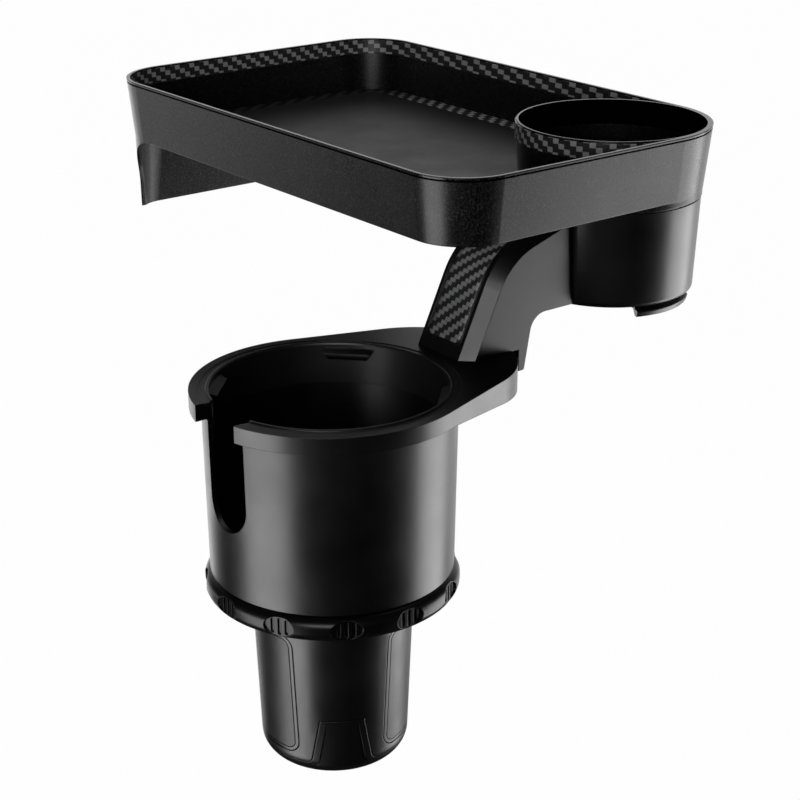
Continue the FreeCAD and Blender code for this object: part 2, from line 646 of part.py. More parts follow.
def spiral_point(turned, side):
    """A point of the spiral slot's edge; side is -1 inside, +1 outside, 0 on its centre line."""
    growth = jaw_travel.value / math.radians(scroll_turn.value)
    radius = pin_distance.value + growth * turned
    slope = math.atan2(growth, radius)
    reach = side * (pin_radius.value + scroll_clearance.value)
    centre = FreeCAD.Vector(radius * math.cos(-turned), radius * math.sin(-turned), 0)
    outward = -turned + slope
    return centre + FreeCAD.Vector(math.cos(outward), math.sin(outward), 0) * reach


def spiral_edge(side):
    margin = math.radians(2)
    steps = 12
    span = math.radians(scroll_turn.value) + 2 * margin
    return [spiral_point(-margin + span * step / steps, side) for step in range(steps + 1)]


slot_sketch = new_sketch(scroll, "SpiralSlot", "XY_Plane", (0, 0, scroll_top))
outer_edge = spiral_edge(1)
inner_edge = spiral_edge(-1)
centre_line = spiral_edge(0)
for edge_points in (outer_edge, inner_edge):
    curve = Part.BSplineCurve()
    curve.interpolate(edge_points)
    slot_sketch.addGeometry(curve)
for end, outward in ((0, 1), (-1, -1)):
    across = outer_edge[end] - inner_edge[end]
    along = FreeCAD.Vector(-across.y, across.x, 0).normalize() * (pin_radius.value + scroll_clearance.value)
    slot_sketch.addGeometry(Part.Arc(outer_edge[end], centre_line[end] + along * outward, inner_edge[end]))
spiral = extrude(scroll, "SpiralSlotCut", slot_sketch, scroll_thickness, towards=-1, cut=True)
turn(scroll, 180)
repeat_round(scroll, "SpiralSlots", [spiral], 3)


# Adjusting ring with ribbed finger grips
ring = new_body("adjusting_ring")
revolve(ring, "Ring", section(ring, "RingSection", [
    (ring_bore, ring_bottom),
    (ring_radius, ring_bottom, ring_round),
    (ring_radius, ring_top, ring_round),
    (ring_bore, ring_top),
]))
ring_middle = (ring_bottom + ring_top) / 2
grip_sketch = new_sketch(ring, "Grip", "YZ_Plane", (0, 0, ring_radius - grip_cut))
grip_ellipse = Part.Ellipse(
    FreeCAD.Vector(0, ring_middle.value, 0), grip_width.value / 2, grip_height.value / 2
)
grip_sketch.addGeometry(grip_ellipse)
grip = extrude(ring, "GripCut", grip_sketch, grip_cut + 1, towards=1, cut=True)
groove_sketch = new_sketch(ring, "Grooves", "YZ_Plane", (0, 0, ring_radius - grip_cut))
for offset, label, share in ((-1, "left", 0.38), (0, "middle", 0.43), (1, "right", 0.38)):
    groove_middle = groove_pitch * offset
    draw_outline(groove_sketch, [
        corner + (groove_width / 2 - 0.02,) for corner in box(
            groove_middle - groove_width / 2,
            ring_middle - grip_height * share,
            groove_middle + groove_width / 2,
            ring_middle + grip_height * share,
        )
    ], label)
grooves = extrude(ring, "GrooveCut", groove_sketch, groove_depth, towards=-1, cut=True)
repeat_round(ring, "Grips", [grip, grooves], grip_count)
notch_sketch = section(ring, "LugNotch", box(
    ring_bore - 1, -lug_half, ring_bore + lug_reach, lug_half), "XY_Plane", (0, 0, ring_bottom))
lug_notch = extrude(ring, "LugNotchCut", notch_sketch, scroll_thickness, towards=1, cut=True)
repeat_round(ring, "LugNotches", [lug_notch], 3)
turn(ring, 180)


# Large cup: tapered wall, floor, spigot inside the ring, handle slot opposite the arm
cup = new_body("large_cup")
spigot_radius = ring_bore - running_fit
revolve(cup, "Cup", section(cup, "CupSection", [
    (0, cup_bottom),
    (spigot_radius - cup_wall, cup_bottom),
    (spigot_radius - cup_wall, spigot_bottom),
    (spigot_radius, spigot_bottom),
    (spigot_radius, cup_bottom),
    (cup_bottom_radius, cup_bottom, edge_break),
    (cup_top_radius, cup_top),
    (cup_top_radius - cup_wall / 2, cup_top),
    (cup_top_radius - cup_wall / 2, cup_top - tongue_joint),
    (cup_top_radius - cup_wall, cup_top - tongue_joint),
    (cup_bottom_radius - cup_wall, cup_bottom + cup_floor, 3),
    (0, cup_bottom + cup_floor),
]))


def handle_slot(body, name, half):
    """Cuts the open-topped handle slot on the -X side."""
    outline = section(body, name, mirrored([
        (half, slot_bottom, half - 0.01),
        (half, collar_top + lip_height + 1),
    ]), "YZ_Plane", (0, 0, -hub_radius))
    return extrude(body, name + "Cut", outline, collar_radius, towards=-1, cut=True)


handle_slot(cup, "HandleSlot", slot_half)
for radius, depth, label in (
    (screw_radius + running_fit, cup_floor, "Screw"),
    (screw_head + guide_clearance, screw_head_height, "Head"),
):
    floor_sketch = new_sketch(cup, label + "Hole", "XY_Plane", (0, 0, cup_bottom + cup_floor))
    draw_circle(floor_sketch, (hub_pilot_distance, 0), radius)
    floor_hole = extrude(cup, label + "HoleCut", floor_sketch, depth, towards=-1, cut=True)
    repeat_round(cup, label + "Holes", [floor_hole], 3)

cup_mat = new_body("large_cup_mat")
cup_mat_bottom = cup_bottom + cup_floor
cup_mat_radius = cup_bottom_radius - cup_wall - 3
revolve(cup_mat, "Mat", section(cup_mat, "MatSection", [
    (0, cup_mat_bottom),
    (cup_mat_radius, cup_mat_bottom),
    (cup_mat_radius, cup_mat_bottom + mat_thickness, edge_break),
    (0, cup_mat_bottom + mat_thickness),
]))


# Collar: ring on the cup's edge, with the extension that carries the arm
def draw_hull(sketch, grow, label="hull"):
    """Outline round the collar's ring and the extension's end, grown by `grow`."""
    big = collar_radius + grow
    small = tip_radius + grow
    spread = math.acos((big.value - small.value) / tip_distance.value)
    ring_circle = Part.Circle(FreeCAD.Vector(), FreeCAD.Vector(0, 0, 1), big.value)
    tip_circle = Part.Circle(FreeCAD.Vector(tip_distance.value, 0, 0), FreeCAD.Vector(0, 0, 1), small.value)
    back = sketch.addGeometry(Part.ArcOfCircle(ring_circle, spread, 2 * math.pi - spread))
    tip = sketch.addGeometry(Part.ArcOfCircle(tip_circle, -spread, spread))
    upper = sketch.addGeometry(Part.LineSegment(tip_circle.value(spread), ring_circle.value(spread)))
    lower = sketch.addGeometry(Part.LineSegment(ring_circle.value(-spread), tip_circle.value(-spread)))
    for first, first_end, second, second_end in (
        (upper, 2, back, 1), (lower, 1, back, 2), (upper, 1, tip, 2), (lower, 2, tip, 1),
    ):
        sketch.addConstraint(Sketcher.Constraint("Tangent", first, first_end, second, second_end))
    hold(sketch, back, 3, (as_size(0), as_size(0)), label + "_centre")
    hold(sketch, tip, 3, (tip_distance, as_size(0)), label + "_tip")
    for arc, radius, name in ((back, big, "_ring_radius"), (tip, small, "_tip_radius")):
        index = sketch.addConstraint(Sketcher.Constraint("Radius", arc, radius.value))
        sketch.renameConstraint(index, label + name)
        sketch.setExpression("Constraints." + label + name, radius.formula)


collar = new_body("collar")
hull_sketch = new_sketch(collar, "Outline", "XY_Plane", (0, 0, collar_top))
draw_hull(hull_sketch, 0)
extrude(collar, "Plate", hull_sketch, tip_thickness, towards=-1)
tip_end = tip_distance + tip_radius
slope = (cup_top - (collar_top - tip_thickness)) / (tip_end - slope_start)
underside = section(collar, "SlopedUnderside", [
    (-collar_radius - 1, cup_top),
    (slope_start, cup_top),
    (tip_end + 1, collar_top - tip_thickness - slope),
    (tip_end + 1, collar_top - tip_thickness - 2),
    (-collar_radius - 1, collar_top - tip_thickness - 2),
])
extrude(collar, "SlopedUndersideCut", underside, 2 * collar_radius + 2, symmetric=True, cut=True)
revolve(collar, "Bore", section(collar, "BoreSection", [
    (0, collar_top - tip_thickness - 1),
    (cup_top_radius + guide_clearance, collar_top - tip_thickness - 1),
    (cup_top_radius + guide_clearance, cup_top),
    (collar_bore, cup_top),
    (collar_bore, collar_top - lip_depth),
    (lip_radius, collar_top - lip_depth),
    (lip_radius, collar_top + 1),
    (0, collar_top + 1),
]), cut=True)
hollow = new_sketch(collar, "HollowUnderside", "XY_Plane", (0, 0, cup_top - edge_break))
hollow_half = tip_radius - extension_wall - 6
hollow_edge = cup_top_radius + 2 * extension_wall
draw_outline(hollow, [
    (hollow_edge, -hollow_half * 0.62),
    (tip_end - 3 * extension_wall, -hollow_half * 0.30, 4),
    (tip_end - 3 * extension_wall, hollow_half * 0.30, 4),
    (hollow_edge, hollow_half * 0.62),
])
extrude(collar, "HollowUndersideCut", hollow, tip_thickness, towards=-1, cut=True)
revolve(collar, "Tongue", section(collar, "TongueSection", box(
    collar_bore, cup_top - tongue_joint, cup_top_radius - cup_wall / 2 - running_fit, cup_top + edge_break)))
handle_slot(collar, "CollarSlot", collar_slot_half)
boss_sketch = new_sketch(collar, "Bosses", "XY_Plane", (0, 0, cup_top - edge_break))
for side, label in ((1, "left"), (-1, "right")):
    draw_circle(boss_sketch, (arm_screw_x, side * arm_screw_y), boss_radius, label)
extrude(collar, "BossPads", boss_sketch, 3.5, towards=-1)
bore_sketch = new_sketch(collar, "ShankBores", "XY_Plane", (0, 0, collar_top + 1))
for side, label in ((1, "left"), (-1, "right")):
    draw_circle(bore_sketch, (arm_screw_x, side * arm_screw_y), screw_radius + running_fit, label)
extrude(collar, "ShankBoresCut", bore_sketch, tip_thickness + 2, towards=-1, cut=True)


# Liner: soft ring in the cup's mouth with four holding flaps
liner = new_body("cup_liner")
liner_outer = collar_bore - liner_play
revolve(liner, "Sleeve", section(liner, "SleeveSection", [
    (liner_radius, liner_bottom),
    (liner_outer, liner_bottom),
    (liner_outer, collar_top - lip_depth),
    (lip_radius - 0.05, collar_top - lip_depth),
    (lip_radius - 0.05, collar_top - lip_sink),
    (liner_radius + bead_width, collar_top - lip_sink),
    (liner_radius + bead_width, collar_top + lip_height, 0.5),
    (liner_radius + 0.3, collar_top + lip_height, 0.5),
    (liner_radius, collar_top - 0.6),
]))
flap_sketch = section(liner, "Flap", mirrored([
    (flap_half_bottom, flap_bottom),
    (flap_half_top, flap_top),
]), "YZ_Plane", (0, 0, liner_radius - flap_reach))
flap = extrude(liner, "FlapPad", flap_sketch, flap_reach + 0.6)
flap_slope = section(liner, "FlapSlope", [
    (liner_radius - flap_reach - 1, flap_top - 1.2),
    (liner_radius - flap_reach, flap_top - 1.2),
    (liner_radius - 0.8, flap_top + 0.2),
    (liner_radius - flap_reach - 1, flap_top + 0.2),
])
flap_top_cut = extrude(liner, "FlapSlopeCut", flap_slope, 2 * flap_half_top + 1, symmetric=True, cut=True)
flap_under = section(liner, "FlapUnder", [
    (liner_radius - flap_reach - 1, flap_bottom - 0.2),
    (liner_radius - 1.6, flap_bottom - 0.2),
    (liner_radius - flap_reach + 0.4, flap_top - 2.4),
    (liner_radius - flap_reach - 1, flap_top - 2.4),
])
flap_under_cut = extrude(liner, "FlapUnderCut", flap_under, 2 * flap_half_top + 1, symmetric=True, cut=True)
repeat_round(liner, "Flaps", [flap, flap_top_cut, flap_under_cut], 4)
revolve(liner, "FlapBacks", section(liner, "FlapBacksSection", box(
    liner_outer, flap_bottom - 1, liner_outer + 3, flap_top + 0.3)), cut=True)
liner_slot = new_sketch(liner, "LinerSlot", "XY_Plane", (0, 0, collar_top + 2))
slot_side = collar_slot_half
draw_outline(liner_slot, [
    (-lip_radius - 6, lip_radius + 6 - slot_side * 1.4142),
    (-lip_radius - 6 + slot_side * 1.4142, lip_radius + 6),
    (-liner_radius * 0.55 + slot_side * 0.7071, liner_radius * 0.55 + slot_side * 0.7071),
    (-liner_radius * 0.55 - slot_side * 0.7071, liner_radius * 0.55 - slot_side * 0.7071),
])
extrude(liner, "LinerSlotCut", liner_slot, collar_top - liner_bottom + 4, towards=-1, cut=True)
turn(liner, 45)


# Arm with the second cup's socket, one moulding: leaning face, bevelled edges, hook over the collar's end
arm_joint = socket_distance - socket_bottom_radius + 8
bend_across = (arm_bend - collar_top) / tangent(arm_lean)
level_across = arm_foot + bend_across + (socket_top - arm_bend) / tangent(arm_rise)
arm_middle = (0, 0, -arm_offset)
hook_inner = tip_end + hook_gap


def face_point(height, depth=0):
    """A point below the arm's leaning face at a height above the foot, `depth` behind the face."""
    return (
        arm_foot + (height - collar_top) / tangent(arm_lean) + depth / sine(arm_lean),
        height,
    )


def bend_point(depth=0):
    """The corner of the face's bend, `depth` behind the surface."""
    spread = 1 + cosine(arm_lean - arm_rise)
    return (
        arm_foot + bend_across + depth * (sine(arm_lean) + sine(arm_rise)) / spread,
        arm_bend - depth * (cosine(arm_lean) + cosine(arm_rise)) / spread,
    )


def top_point(across, depth=0):
    """A point on the arm's rising top, `depth` below the surface."""
    height = arm_bend + (across - arm_foot - bend_across) * tangent(arm_rise)
    return (across, height - depth / cosine(arm_rise))


arm = new_body("arm_with_socket")
arm_section = section(arm, "ArmSection", [
    face_point(collar_top),
    bend_point() + (arm_bend_round,),
    (level_across, socket_top),
    (arm_joint, socket_top),
    (arm_joint, arm_under),
    (hook_back, arm_under, hook_round),
    (hook_inner + hook_width, hook_bottom, 1),
    (hook_inner, hook_bottom),
    (hook_inner, collar_top),
], "XZ_Plane", arm_middle)
extrude(arm, "Arm", arm_section, 2 * arm_half, symmetric=True)
dress(arm, "FaceBevel", "Chamfer", face_bevel, lambda edge: (
    abs(abs(edge.CenterOfMass.y - arm_offset.value) - arm_half.value) < 1e-3
    and edge.CenterOfMass.z > arm_under.value + 2
    and edge.CenterOfMass.x < arm_joint.value - 1
))
inside = 2 * (arm_half - arm_wall)
lean_hollow = section(arm, "LeanHollow", [
    face_point(collar_top, face_wall),
    face_point(arm_bend - 2 * face_wall, face_wall) + (3,),
    (hook_back - arm_wall, arm_bend - face_wall, 3),
    (hook_back - arm_wall, arm_under + hook_round / 2, 3),
    (hook_inner - 1, collar_top),
], "XZ_Plane", arm_middle)
extrude(arm, "LeanHollowCut", lean_hollow, inside, symmetric=True, cut=True)
beam_hollow = section(arm, "BeamHollow", [
    (hook_back + arm_wall, arm_under),
    (hook_back + arm_wall, arm_bend - face_wall, 3),
    (arm_joint - 8, arm_bend - face_wall, 3),
    (arm_joint - 8, arm_under),
], "XZ_Plane", arm_middle)
extrude(arm, "BeamHollowCut", beam_hollow, inside, symmetric=True, cut=True)
rib = section(arm, "BeamRib", box(hook_back, arm_under + 1.5, arm_joint - 4, arm_bend - face_wall + 1),
              "XZ_Plane", arm_middle)
extrude(arm, "BeamRibPad", rib, arm_wall * 0.8, symmetric=True)
boss_pads = new_sketch(arm, "Bosses", "XY_Plane", (0, 0, collar_top))
for side, label in ((1, "left"), (-1, "right")):
    draw_circle(boss_pads, (arm_screw_x, side * arm_screw_y), boss_radius, label)
extrude(arm, "BossPads", boss_pads, boss_height)
boss_bores = new_sketch(arm, "BossBores", "XY_Plane", (0, 0, collar_top))
for side, label in ((1, "left"), (-1, "right")):
    draw_circle(boss_bores, (arm_screw_x, side * arm_screw_y), screw_radius, label)
extrude(arm, "BossBoresCut", boss_bores, boss_height - 2, towards=1, cut=True)


def face_strip(depth_out, depth_in):
    """Outline of a strip that follows the arm's face between two depths."""
    start = collar_top + inlay_start
    return [
        face_point(start, depth_in),
        bend_point(depth_in) + (arm_bend_round - depth_in,),
        top_point(inlay_end, depth_in),
        top_point(inlay_end, depth_out),
        bend_point(depth_out) + (arm_bend_round - depth_out,),
        face_point(start, depth_out),
    ]


def strip_corner(edge, half, start):
    """True for the short edges at a strip's lower end."""
    middle = edge.CenterOfMass
    return (
        edge.Length < 3
        and abs(abs(middle.y - arm_offset.value) - half.value) < 1e-3
        and abs(middle.z - start.value) < 1.5
    )


inlay_foot = collar_top + inlay_start
recess = section(arm, "InlayRecess", face_strip(-1, inlay_depth), "XZ_Plane", arm_middle)
extrude(arm, "InlayRecessCut", recess, 2 * inlay_half, symmetric=True, cut=True)
dress(arm, "RecessCorners", "Fillet", edge_break * 5, lambda edge: strip_corner(edge, inlay_half, inlay_foot))
socket_outer = section(arm, "SocketOuter", [
    (0, socket_bottom),
    (socket_bottom_radius, socket_bottom, socket_edge_round),
    (socket_top_radius, socket_top),
    (0, socket_top),
], "XZ_Plane", (socket_distance, 0, 0))
revolve(arm, "Socket", socket_outer)
web_round = size("web_round", 2.5, "fillet between arm and socket")
dress(arm, "SocketWeb", "Fillet", web_round, lambda edge: (
    abs(abs(edge.CenterOfMass.y - arm_offset.value) - arm_half.value) < 1e-2
    and edge.BoundBox.ZLength > 20
    and edge.BoundBox.XMin > arm_joint.value - 9
))
socket_bore_bottom = socket_bottom_radius - socket_wall
socket_bore_top = socket_top_radius - socket_wall
revolve(arm, "SocketBore", section(arm, "SocketBoreSection", [
    (0, socket_bottom + socket_floor),
    (socket_bore_bottom, socket_bottom + socket_floor, 2),
    (socket_bore_top, socket_top),
    (socket_bore_top, socket_top + 1),
    (0, socket_top + 1),
], "XZ_Plane", (socket_distance, 0, 0)), cut=True)
revolve(arm, "PivotHole", section(arm, "PivotHoleSection", box(
    0, socket_bottom - 1, pivot_radius + running_fit, socket_bottom + socket_floor + 1,
), "XZ_Plane", (socket_distance, 0, 0)), cut=True)

inlay = new_body("arm_inlay")
strip = section(inlay, "StripSection", face_strip(0.1, inlay_depth), "XZ_Plane", arm_middle)
extrude(inlay, "Strip", strip, 2 * inlay_half - 0.2, symmetric=True)
dress(inlay, "StripCorners", "Fillet", edge_break * 5,
      lambda edge: strip_corner(edge, inlay_half - 0.1, inlay_foot))


# Tray: drafted tub with four different corners, skirt at its far end, sleeve that turns in the socket
tray_near_local = socket_distance - tray_near
wall_bottom = tray_top - tray_height
floor_top = wall_bottom + tray_floor


def tray_inset(height):
    """How far the drafted walls have come in at a height."""
    return (tray_top - height) * tangent(tray_draft)


def tray_outline(inset, back=None, left=None):
    """Tray outline about the socket axis, with every wall moved in by `inset`; back and left: far corners."""
    return [
        (-tray_near_local + inset, -tray_corner_radius + inset, front_corner - inset),
        (tray_corner_radius - inset, -tray_corner_radius + inset, tray_corner_radius - inset),
        (tray_corner_radius - inset, tray_length - inset, back or back_corner - inset),
        (-tray_near_local + inset, tray_length - inset, left or left_corner - inset),
    ]


def tray_block(body, name, inset, top, depth, cut=False):
    """Adds or cuts a block with the tray's outline and draft, from a height downwards."""
    outline = section(body, name + "Outline", tray_outline(inset), "XY_Plane", (socket_distance, 0, top))
    return extrude(body, name, outline, depth, towards=-1, taper=-tray_draft, cut=cut)


def around_socket(body, name, corners, cut=False):
    """Turns a section about the socket's axis."""
    return revolve(body, name, section(body, name + "Section", corners, "XZ_Plane", (socket_distance, 0, 0)),
                   cut=cut)


def skirt_loft(body, name, margin, cut=False):
    """Adds or cuts a block below the walls whose two far corners get sharper downwards."""
    upper_outline = tray_outline(tray_inset(wall_bottom) + margin)
    lower_outline = tray_outline(
        tray_inset(skirt_bottom) + margin, skirt_back_corner - margin, skirt_left_corner - margin)
    upper = section(body, name + "Upper", upper_outline, "XY_Plane", (socket_distance, 0, wall_bottom))
    lower = section(body, name + "Lower", lower_outline, "XY_Plane", (socket_distance, 0, skirt_bottom))
    loft = body.newObject("PartDesign::SubtractiveLoft" if cut else "PartDesign::AdditiveLoft", name)
    loft.Profile = upper
    loft.Sections = [lower]
    loft.Ruled = True
    return finish_feature(body, loft, cut)


tray = new_body("tray")
tray_block(tray, "Block", as_size(0), tray_top, tray_height)
skirt_loft(tray, "Skirt", as_size(0))
skirt_loft(tray, "Underside", tray_wall, cut=True)
tray_block(tray, "Inside", tray_wall, tray_top, tray_top - floor_top, cut=True)
skirt_side = section(tray, "SkirtSide", [
    (-tray_corner_radius - 1, wall_bottom),
    (skirt_start, wall_bottom, skirt_round),
    (skirt_start, skirt_bottom - 1),
    (-tray_corner_radius - 1, skirt_bottom - 1),
], "YZ_Plane")
extrude(tray, "SkirtSideCut", skirt_side, socket_distance + tray_corner_radius + 1, towards=1, cut=True)
band_top = tray_top - band_edge
tray_block(tray, "BandRecess", tray_wall - band_depth + tray_inset(band_top), band_top, band_height, cut=True)
sleeve_bottom = socket_bottom + socket_floor + sleeve_clearance
sleeve_top = socket_top + lock_gap
boss_bottom = socket_bottom - lock_gap
hole_foot = tray_corner_radius - tray_inset(wall_bottom) - 0.1
around_socket(tray, "Sleeve", [
    (0, boss_bottom),
    (pivot_radius, boss_bottom),
    (pivot_radius, sleeve_bottom),
    (socket_bore_bottom - sleeve_clearance, sleeve_bottom, 2.5),
    (socket_bore_top - sleeve_clearance, sleeve_top),
    (hole_foot, sleeve_top, 0.6),
    (hole_foot, wall_bottom + 0.5),
    (hole_radius + hole_wall, band_top - band_height - 1),
    (hole_radius + hole_wall, tray_top),
    (0, tray_top),
])
around_socket(tray, "CupHole", [
    (0, sleeve_bottom + sleeve_floor),
    (socket_bore_bottom - sleeve_clearance - sleeve_wall, sleeve_bottom + sleeve_floor, 1.5),
    (socket_bore_top - sleeve_clearance - sleeve_wall, sleeve_top),
    (hole_radius, wall_bottom + collar_drop),
    (hole_radius, tray_top + 1),
    (0, tray_top + 1),
], cut=True)
lock_bore = section(tray, "LockBore", box(0, boss_bottom - 1, screw_radius, sleeve_bottom + 1),
                    "XZ_Plane", (socket_distance, 0, 0))
revolve(tray, "LockBoreCut", lock_bore, cut=True)

band = new_body("tray_rim_band")
tray_block(band, "Band", tray_wall - band_depth + tray_inset(band_top), band_top, band_height)
tray_block(band, "BandInside", tray_wall + tray_inset(band_top), band_top, band_height, cut=True)
around_socket(band, "HoleClearance", box(
    0, band_top - band_height - 1, hole_radius + hole_wall + band_depth + 0.1, band_top + 1), cut=True)

hole_band = new_body("cup_hole_band")
around_socket(hole_band, "Ring", box(
    hole_radius + hole_wall, band_top - band_height, hole_radius + hole_wall + band_depth, band_top))
outside = section(hole_band, "OutsideTray", [
    (-tray_near_local, -tray_corner_radius - 9),
    (tray_corner_radius + 9, -tray_corner_radius - 9),
    (tray_corner_radius + 9, tray_length),
    (-tray_near_local, tray_length),
], "XY_Plane", (socket_distance, 0, band_top))
draw_outline(outside, tray_outline(tray_wall + tray_inset(band_top - band_height)), "inner")
extrude(hole_band, "OutsideTrayCut", outside, band_height, towards=-1, cut=True)

floor_inset = tray_wall + tray_inset(floor_top) + floor_gap
border = new_body("tray_floor_border")
tray_block(border, "Border", floor_inset, floor_top + border_thickness, border_thickness)
tray_block(border, "BorderInside", floor_inset + border_width, floor_top + border_thickness,
           border_thickness, cut=True)
around_socket(border, "SleeveClearance", box(
    0, floor_top - 1, hole_foot + floor_gap, floor_top + 2), cut=True)

tray_mat = new_body("tray_mat")
tray_block(tray_mat, "Mat", floor_inset + border_width + floor_gap, floor_top + floor_mat_thickness,
           floor_mat_thickness)
around_socket(tray_mat, "SleeveClearance", box(
    0, floor_top - 1, hole_foot + floor_gap, floor_top + 2), cut=True)

sleeve_mat = new_body("second_cup_mat")
sleeve_mat_bottom = sleeve_bottom + sleeve_floor
sleeve_mat_radius = socket_bore_bottom - sleeve_clearance - sleeve_wall - 2
around_socket(sleeve_mat, "Mat", [
    (0, sleeve_mat_bottom),
    (sleeve_mat_radius, sleeve_mat_bottom),
    (sleeve_mat_radius, sleeve_mat_bottom + mat_thickness, edge_break),
    (0, sleeve_mat_bottom + mat_thickness),
])


# Hold-down plate under the socket, with the finger lip
lock = new_body("hold_down_plate")
lock_bottom = boss_bottom - lock_thickness
revolve(lock, "Disc", section(lock, "DiscSection", [
    (screw_radius + running_fit, lock_bottom),
    (lock_radius, lock_bottom, edge_break),
    (lock_radius, boss_bottom),
    (screw_radius + running_fit, boss_bottom),
]))
lip_foot = boss_bottom - lip_drop
lip_section = section(lock, "LipSection", [
    (lock_radius - 2, lock_bottom),
    (lip_outer - 5, lock_bottom),
    (lip_outer - 3, lip_foot),
    (lip_outer - 0.8, lip_foot, 0.5),
    (lip_outer, boss_bottom - 1.8, 0.8),
    (lip_outer - 3.4, boss_bottom - 1.8),
    (lip_outer - 3.4, boss_bottom),
    (lock_radius - 2, boss_bottom),
])
revolve(lock, "Lip", lip_section, angle=lip_sweep)
lip_turn = lip_start.value + lip_sweep.value / 2
lock.Placement = FreeCAD.Placement(
    FreeCAD.Vector(socket_distance.value, 0, 0), FreeCAD.Rotation(FreeCAD.Vector(0, 0, 1), lip_turn)
)
lock.setExpression("Placement.Base.x", socket_distance.formula)


def bind(target, prop, value):
    target.setExpression(prop, as_size(value).formula)


def screws(name, places, seat, length, downward):
    """Pan-head screws, all alike: the head sits on `seat`, the shank goes up or down from it."""
    pieces = []
    for number, (across, beside) in enumerate(places):
        shank = doc.addObject("Part::Cylinder", "%s_shank%d" % (name, number))
        head = doc.addObject("Part::Cylinder", "%s_head%d" % (name, number))
        hexagon = doc.addObject("Part::Prism", "%s_drive%d" % (name, number))
        bind(shank, "Radius", screw_radius)
        bind(shank, "Height", length)
        bind(head, "Radius", screw_head)
        bind(head, "Height", screw_head_height)
        hexagon.Polygon = 6
        bind(hexagon, "Circumradius", screw_radius * 0.8)
        bind(hexagon, "Height", screw_head_height * 0.6)
        heights = (
            (shank, seat - length if downward else seat),
            (head, seat if downward else seat - screw_head_height),
            (hexagon, seat + screw_head_height * 0.4 if downward else seat - screw_head_height),
        )
        for piece, height in heights:
            bind(piece, "Placement.Base.x", across)
            bind(piece, "Placement.Base.y", beside)
            bind(piece, "Placement.Base.z", height)
        blank = doc.addObject("Part::Fuse", "%s_blank%d" % (name, number))
        blank.Base, blank.Tool = head, shank
        screw = doc.addObject("Part::Cut", "%s_screw%d" % (name, number))
        screw.Base, screw.Tool = blank, hexagon
        pieces.append(screw)
    together = doc.addObject("Part::Compound", name)
    together.Links = pieces
    together.Label = name
    sub_parts.append(together)


def ring_places(distance, count=3):
    """Places spread evenly round the plug's axis."""
    step = 360 / count
    return [
        (distance * cosine(as_size(step * i)), distance * sine(as_size(step * i)))
        for i in range(count)
    ]


screws("base_screws", ring_places(column_distance), screw_head_height, boss_height, downward=False)
screws("cup_screws", ring_places(hub_pilot_distance), cup_mat_bottom - screw_head_height, boss_height - 1,
       downward=True)
arm_screw_seat = cup_top - edge_break - 3.5
screws("arm_screws", [(arm_screw_x, arm_screw_y), (arm_screw_x, -arm_screw_y)], arm_screw_seat,
       collar_top - arm_screw_seat + boss_height - 4, downward=False)
screws("hold_down_screw", [(socket_distance, 0)], lock_bottom, lock_thickness + sleeve_bottom - boss_bottom,
       downward=False)


doc.recompute()
failed = [item.Name for item in doc.Objects if {"Invalid", "Error"} & set(item.State)]
if failed:
    raise ValueError("failed objects: " + ", ".join(failed))
for item in sub_parts:
    if item.Shape.isNull() or not item.Shape.isValid():
        raise ValueError("bad shape: " + item.Label)
os.makedirs("parts", exist_ok=True)
for item in sub_parts:
    item.Shape.exportStep("parts/%s.step" % item.Label)
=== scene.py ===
import json
import math

import bmesh
import bpy
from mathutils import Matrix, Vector


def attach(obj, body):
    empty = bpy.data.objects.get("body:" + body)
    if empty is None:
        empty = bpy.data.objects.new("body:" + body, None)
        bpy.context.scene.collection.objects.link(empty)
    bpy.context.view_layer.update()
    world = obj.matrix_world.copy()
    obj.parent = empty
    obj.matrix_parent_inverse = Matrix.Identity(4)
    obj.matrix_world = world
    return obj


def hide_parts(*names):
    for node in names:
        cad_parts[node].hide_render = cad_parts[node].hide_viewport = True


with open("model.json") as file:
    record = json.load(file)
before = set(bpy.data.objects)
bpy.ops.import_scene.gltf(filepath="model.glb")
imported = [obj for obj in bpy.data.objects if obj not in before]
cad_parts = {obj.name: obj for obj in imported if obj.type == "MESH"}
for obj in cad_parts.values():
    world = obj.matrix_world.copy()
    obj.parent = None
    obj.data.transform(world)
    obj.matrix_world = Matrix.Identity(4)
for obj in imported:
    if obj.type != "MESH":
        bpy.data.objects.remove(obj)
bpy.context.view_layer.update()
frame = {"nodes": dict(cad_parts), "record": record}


# Directions of the photograph: the camera looks 38 degrees to the right of +Y
HEADING = math.radians(38.0)
BACK = Vector((math.sin(HEADING), math.cos(HEADING), 0))
RIGHT = Vector((math.cos(HEADING), -math.sin(HEADING), 0))

# The photograph's camera, lens and sensor in millimetres
CAMERA_PLACE = (-0.4105, -0.5722, 0.4400)
CAMERA_TILT = math.radians(90.0 - 21.54)
LENS = 82.6
SENSOR = 36.0

# The studio: its middle, the floor, the height of the upright lights and the dim room's tone
STUDIO_MIDDLE = Vector((0.03, 0.02, 0))
FLOOR_Z = -0.65
FLOOR_HALF = 6.0
LIGHT_Z = -0.26
ROOM_TONE = 0.025

# Where white shows in reflections: by the cosine to straight behind, and by metres behind the object
GLOW_COSINES = (0.60, 0.95)
GLOW_METRES = (0.65, 1.5)

# How much of the floor's white is paint, which takes shadow
PAINT_SHARE = 0.015

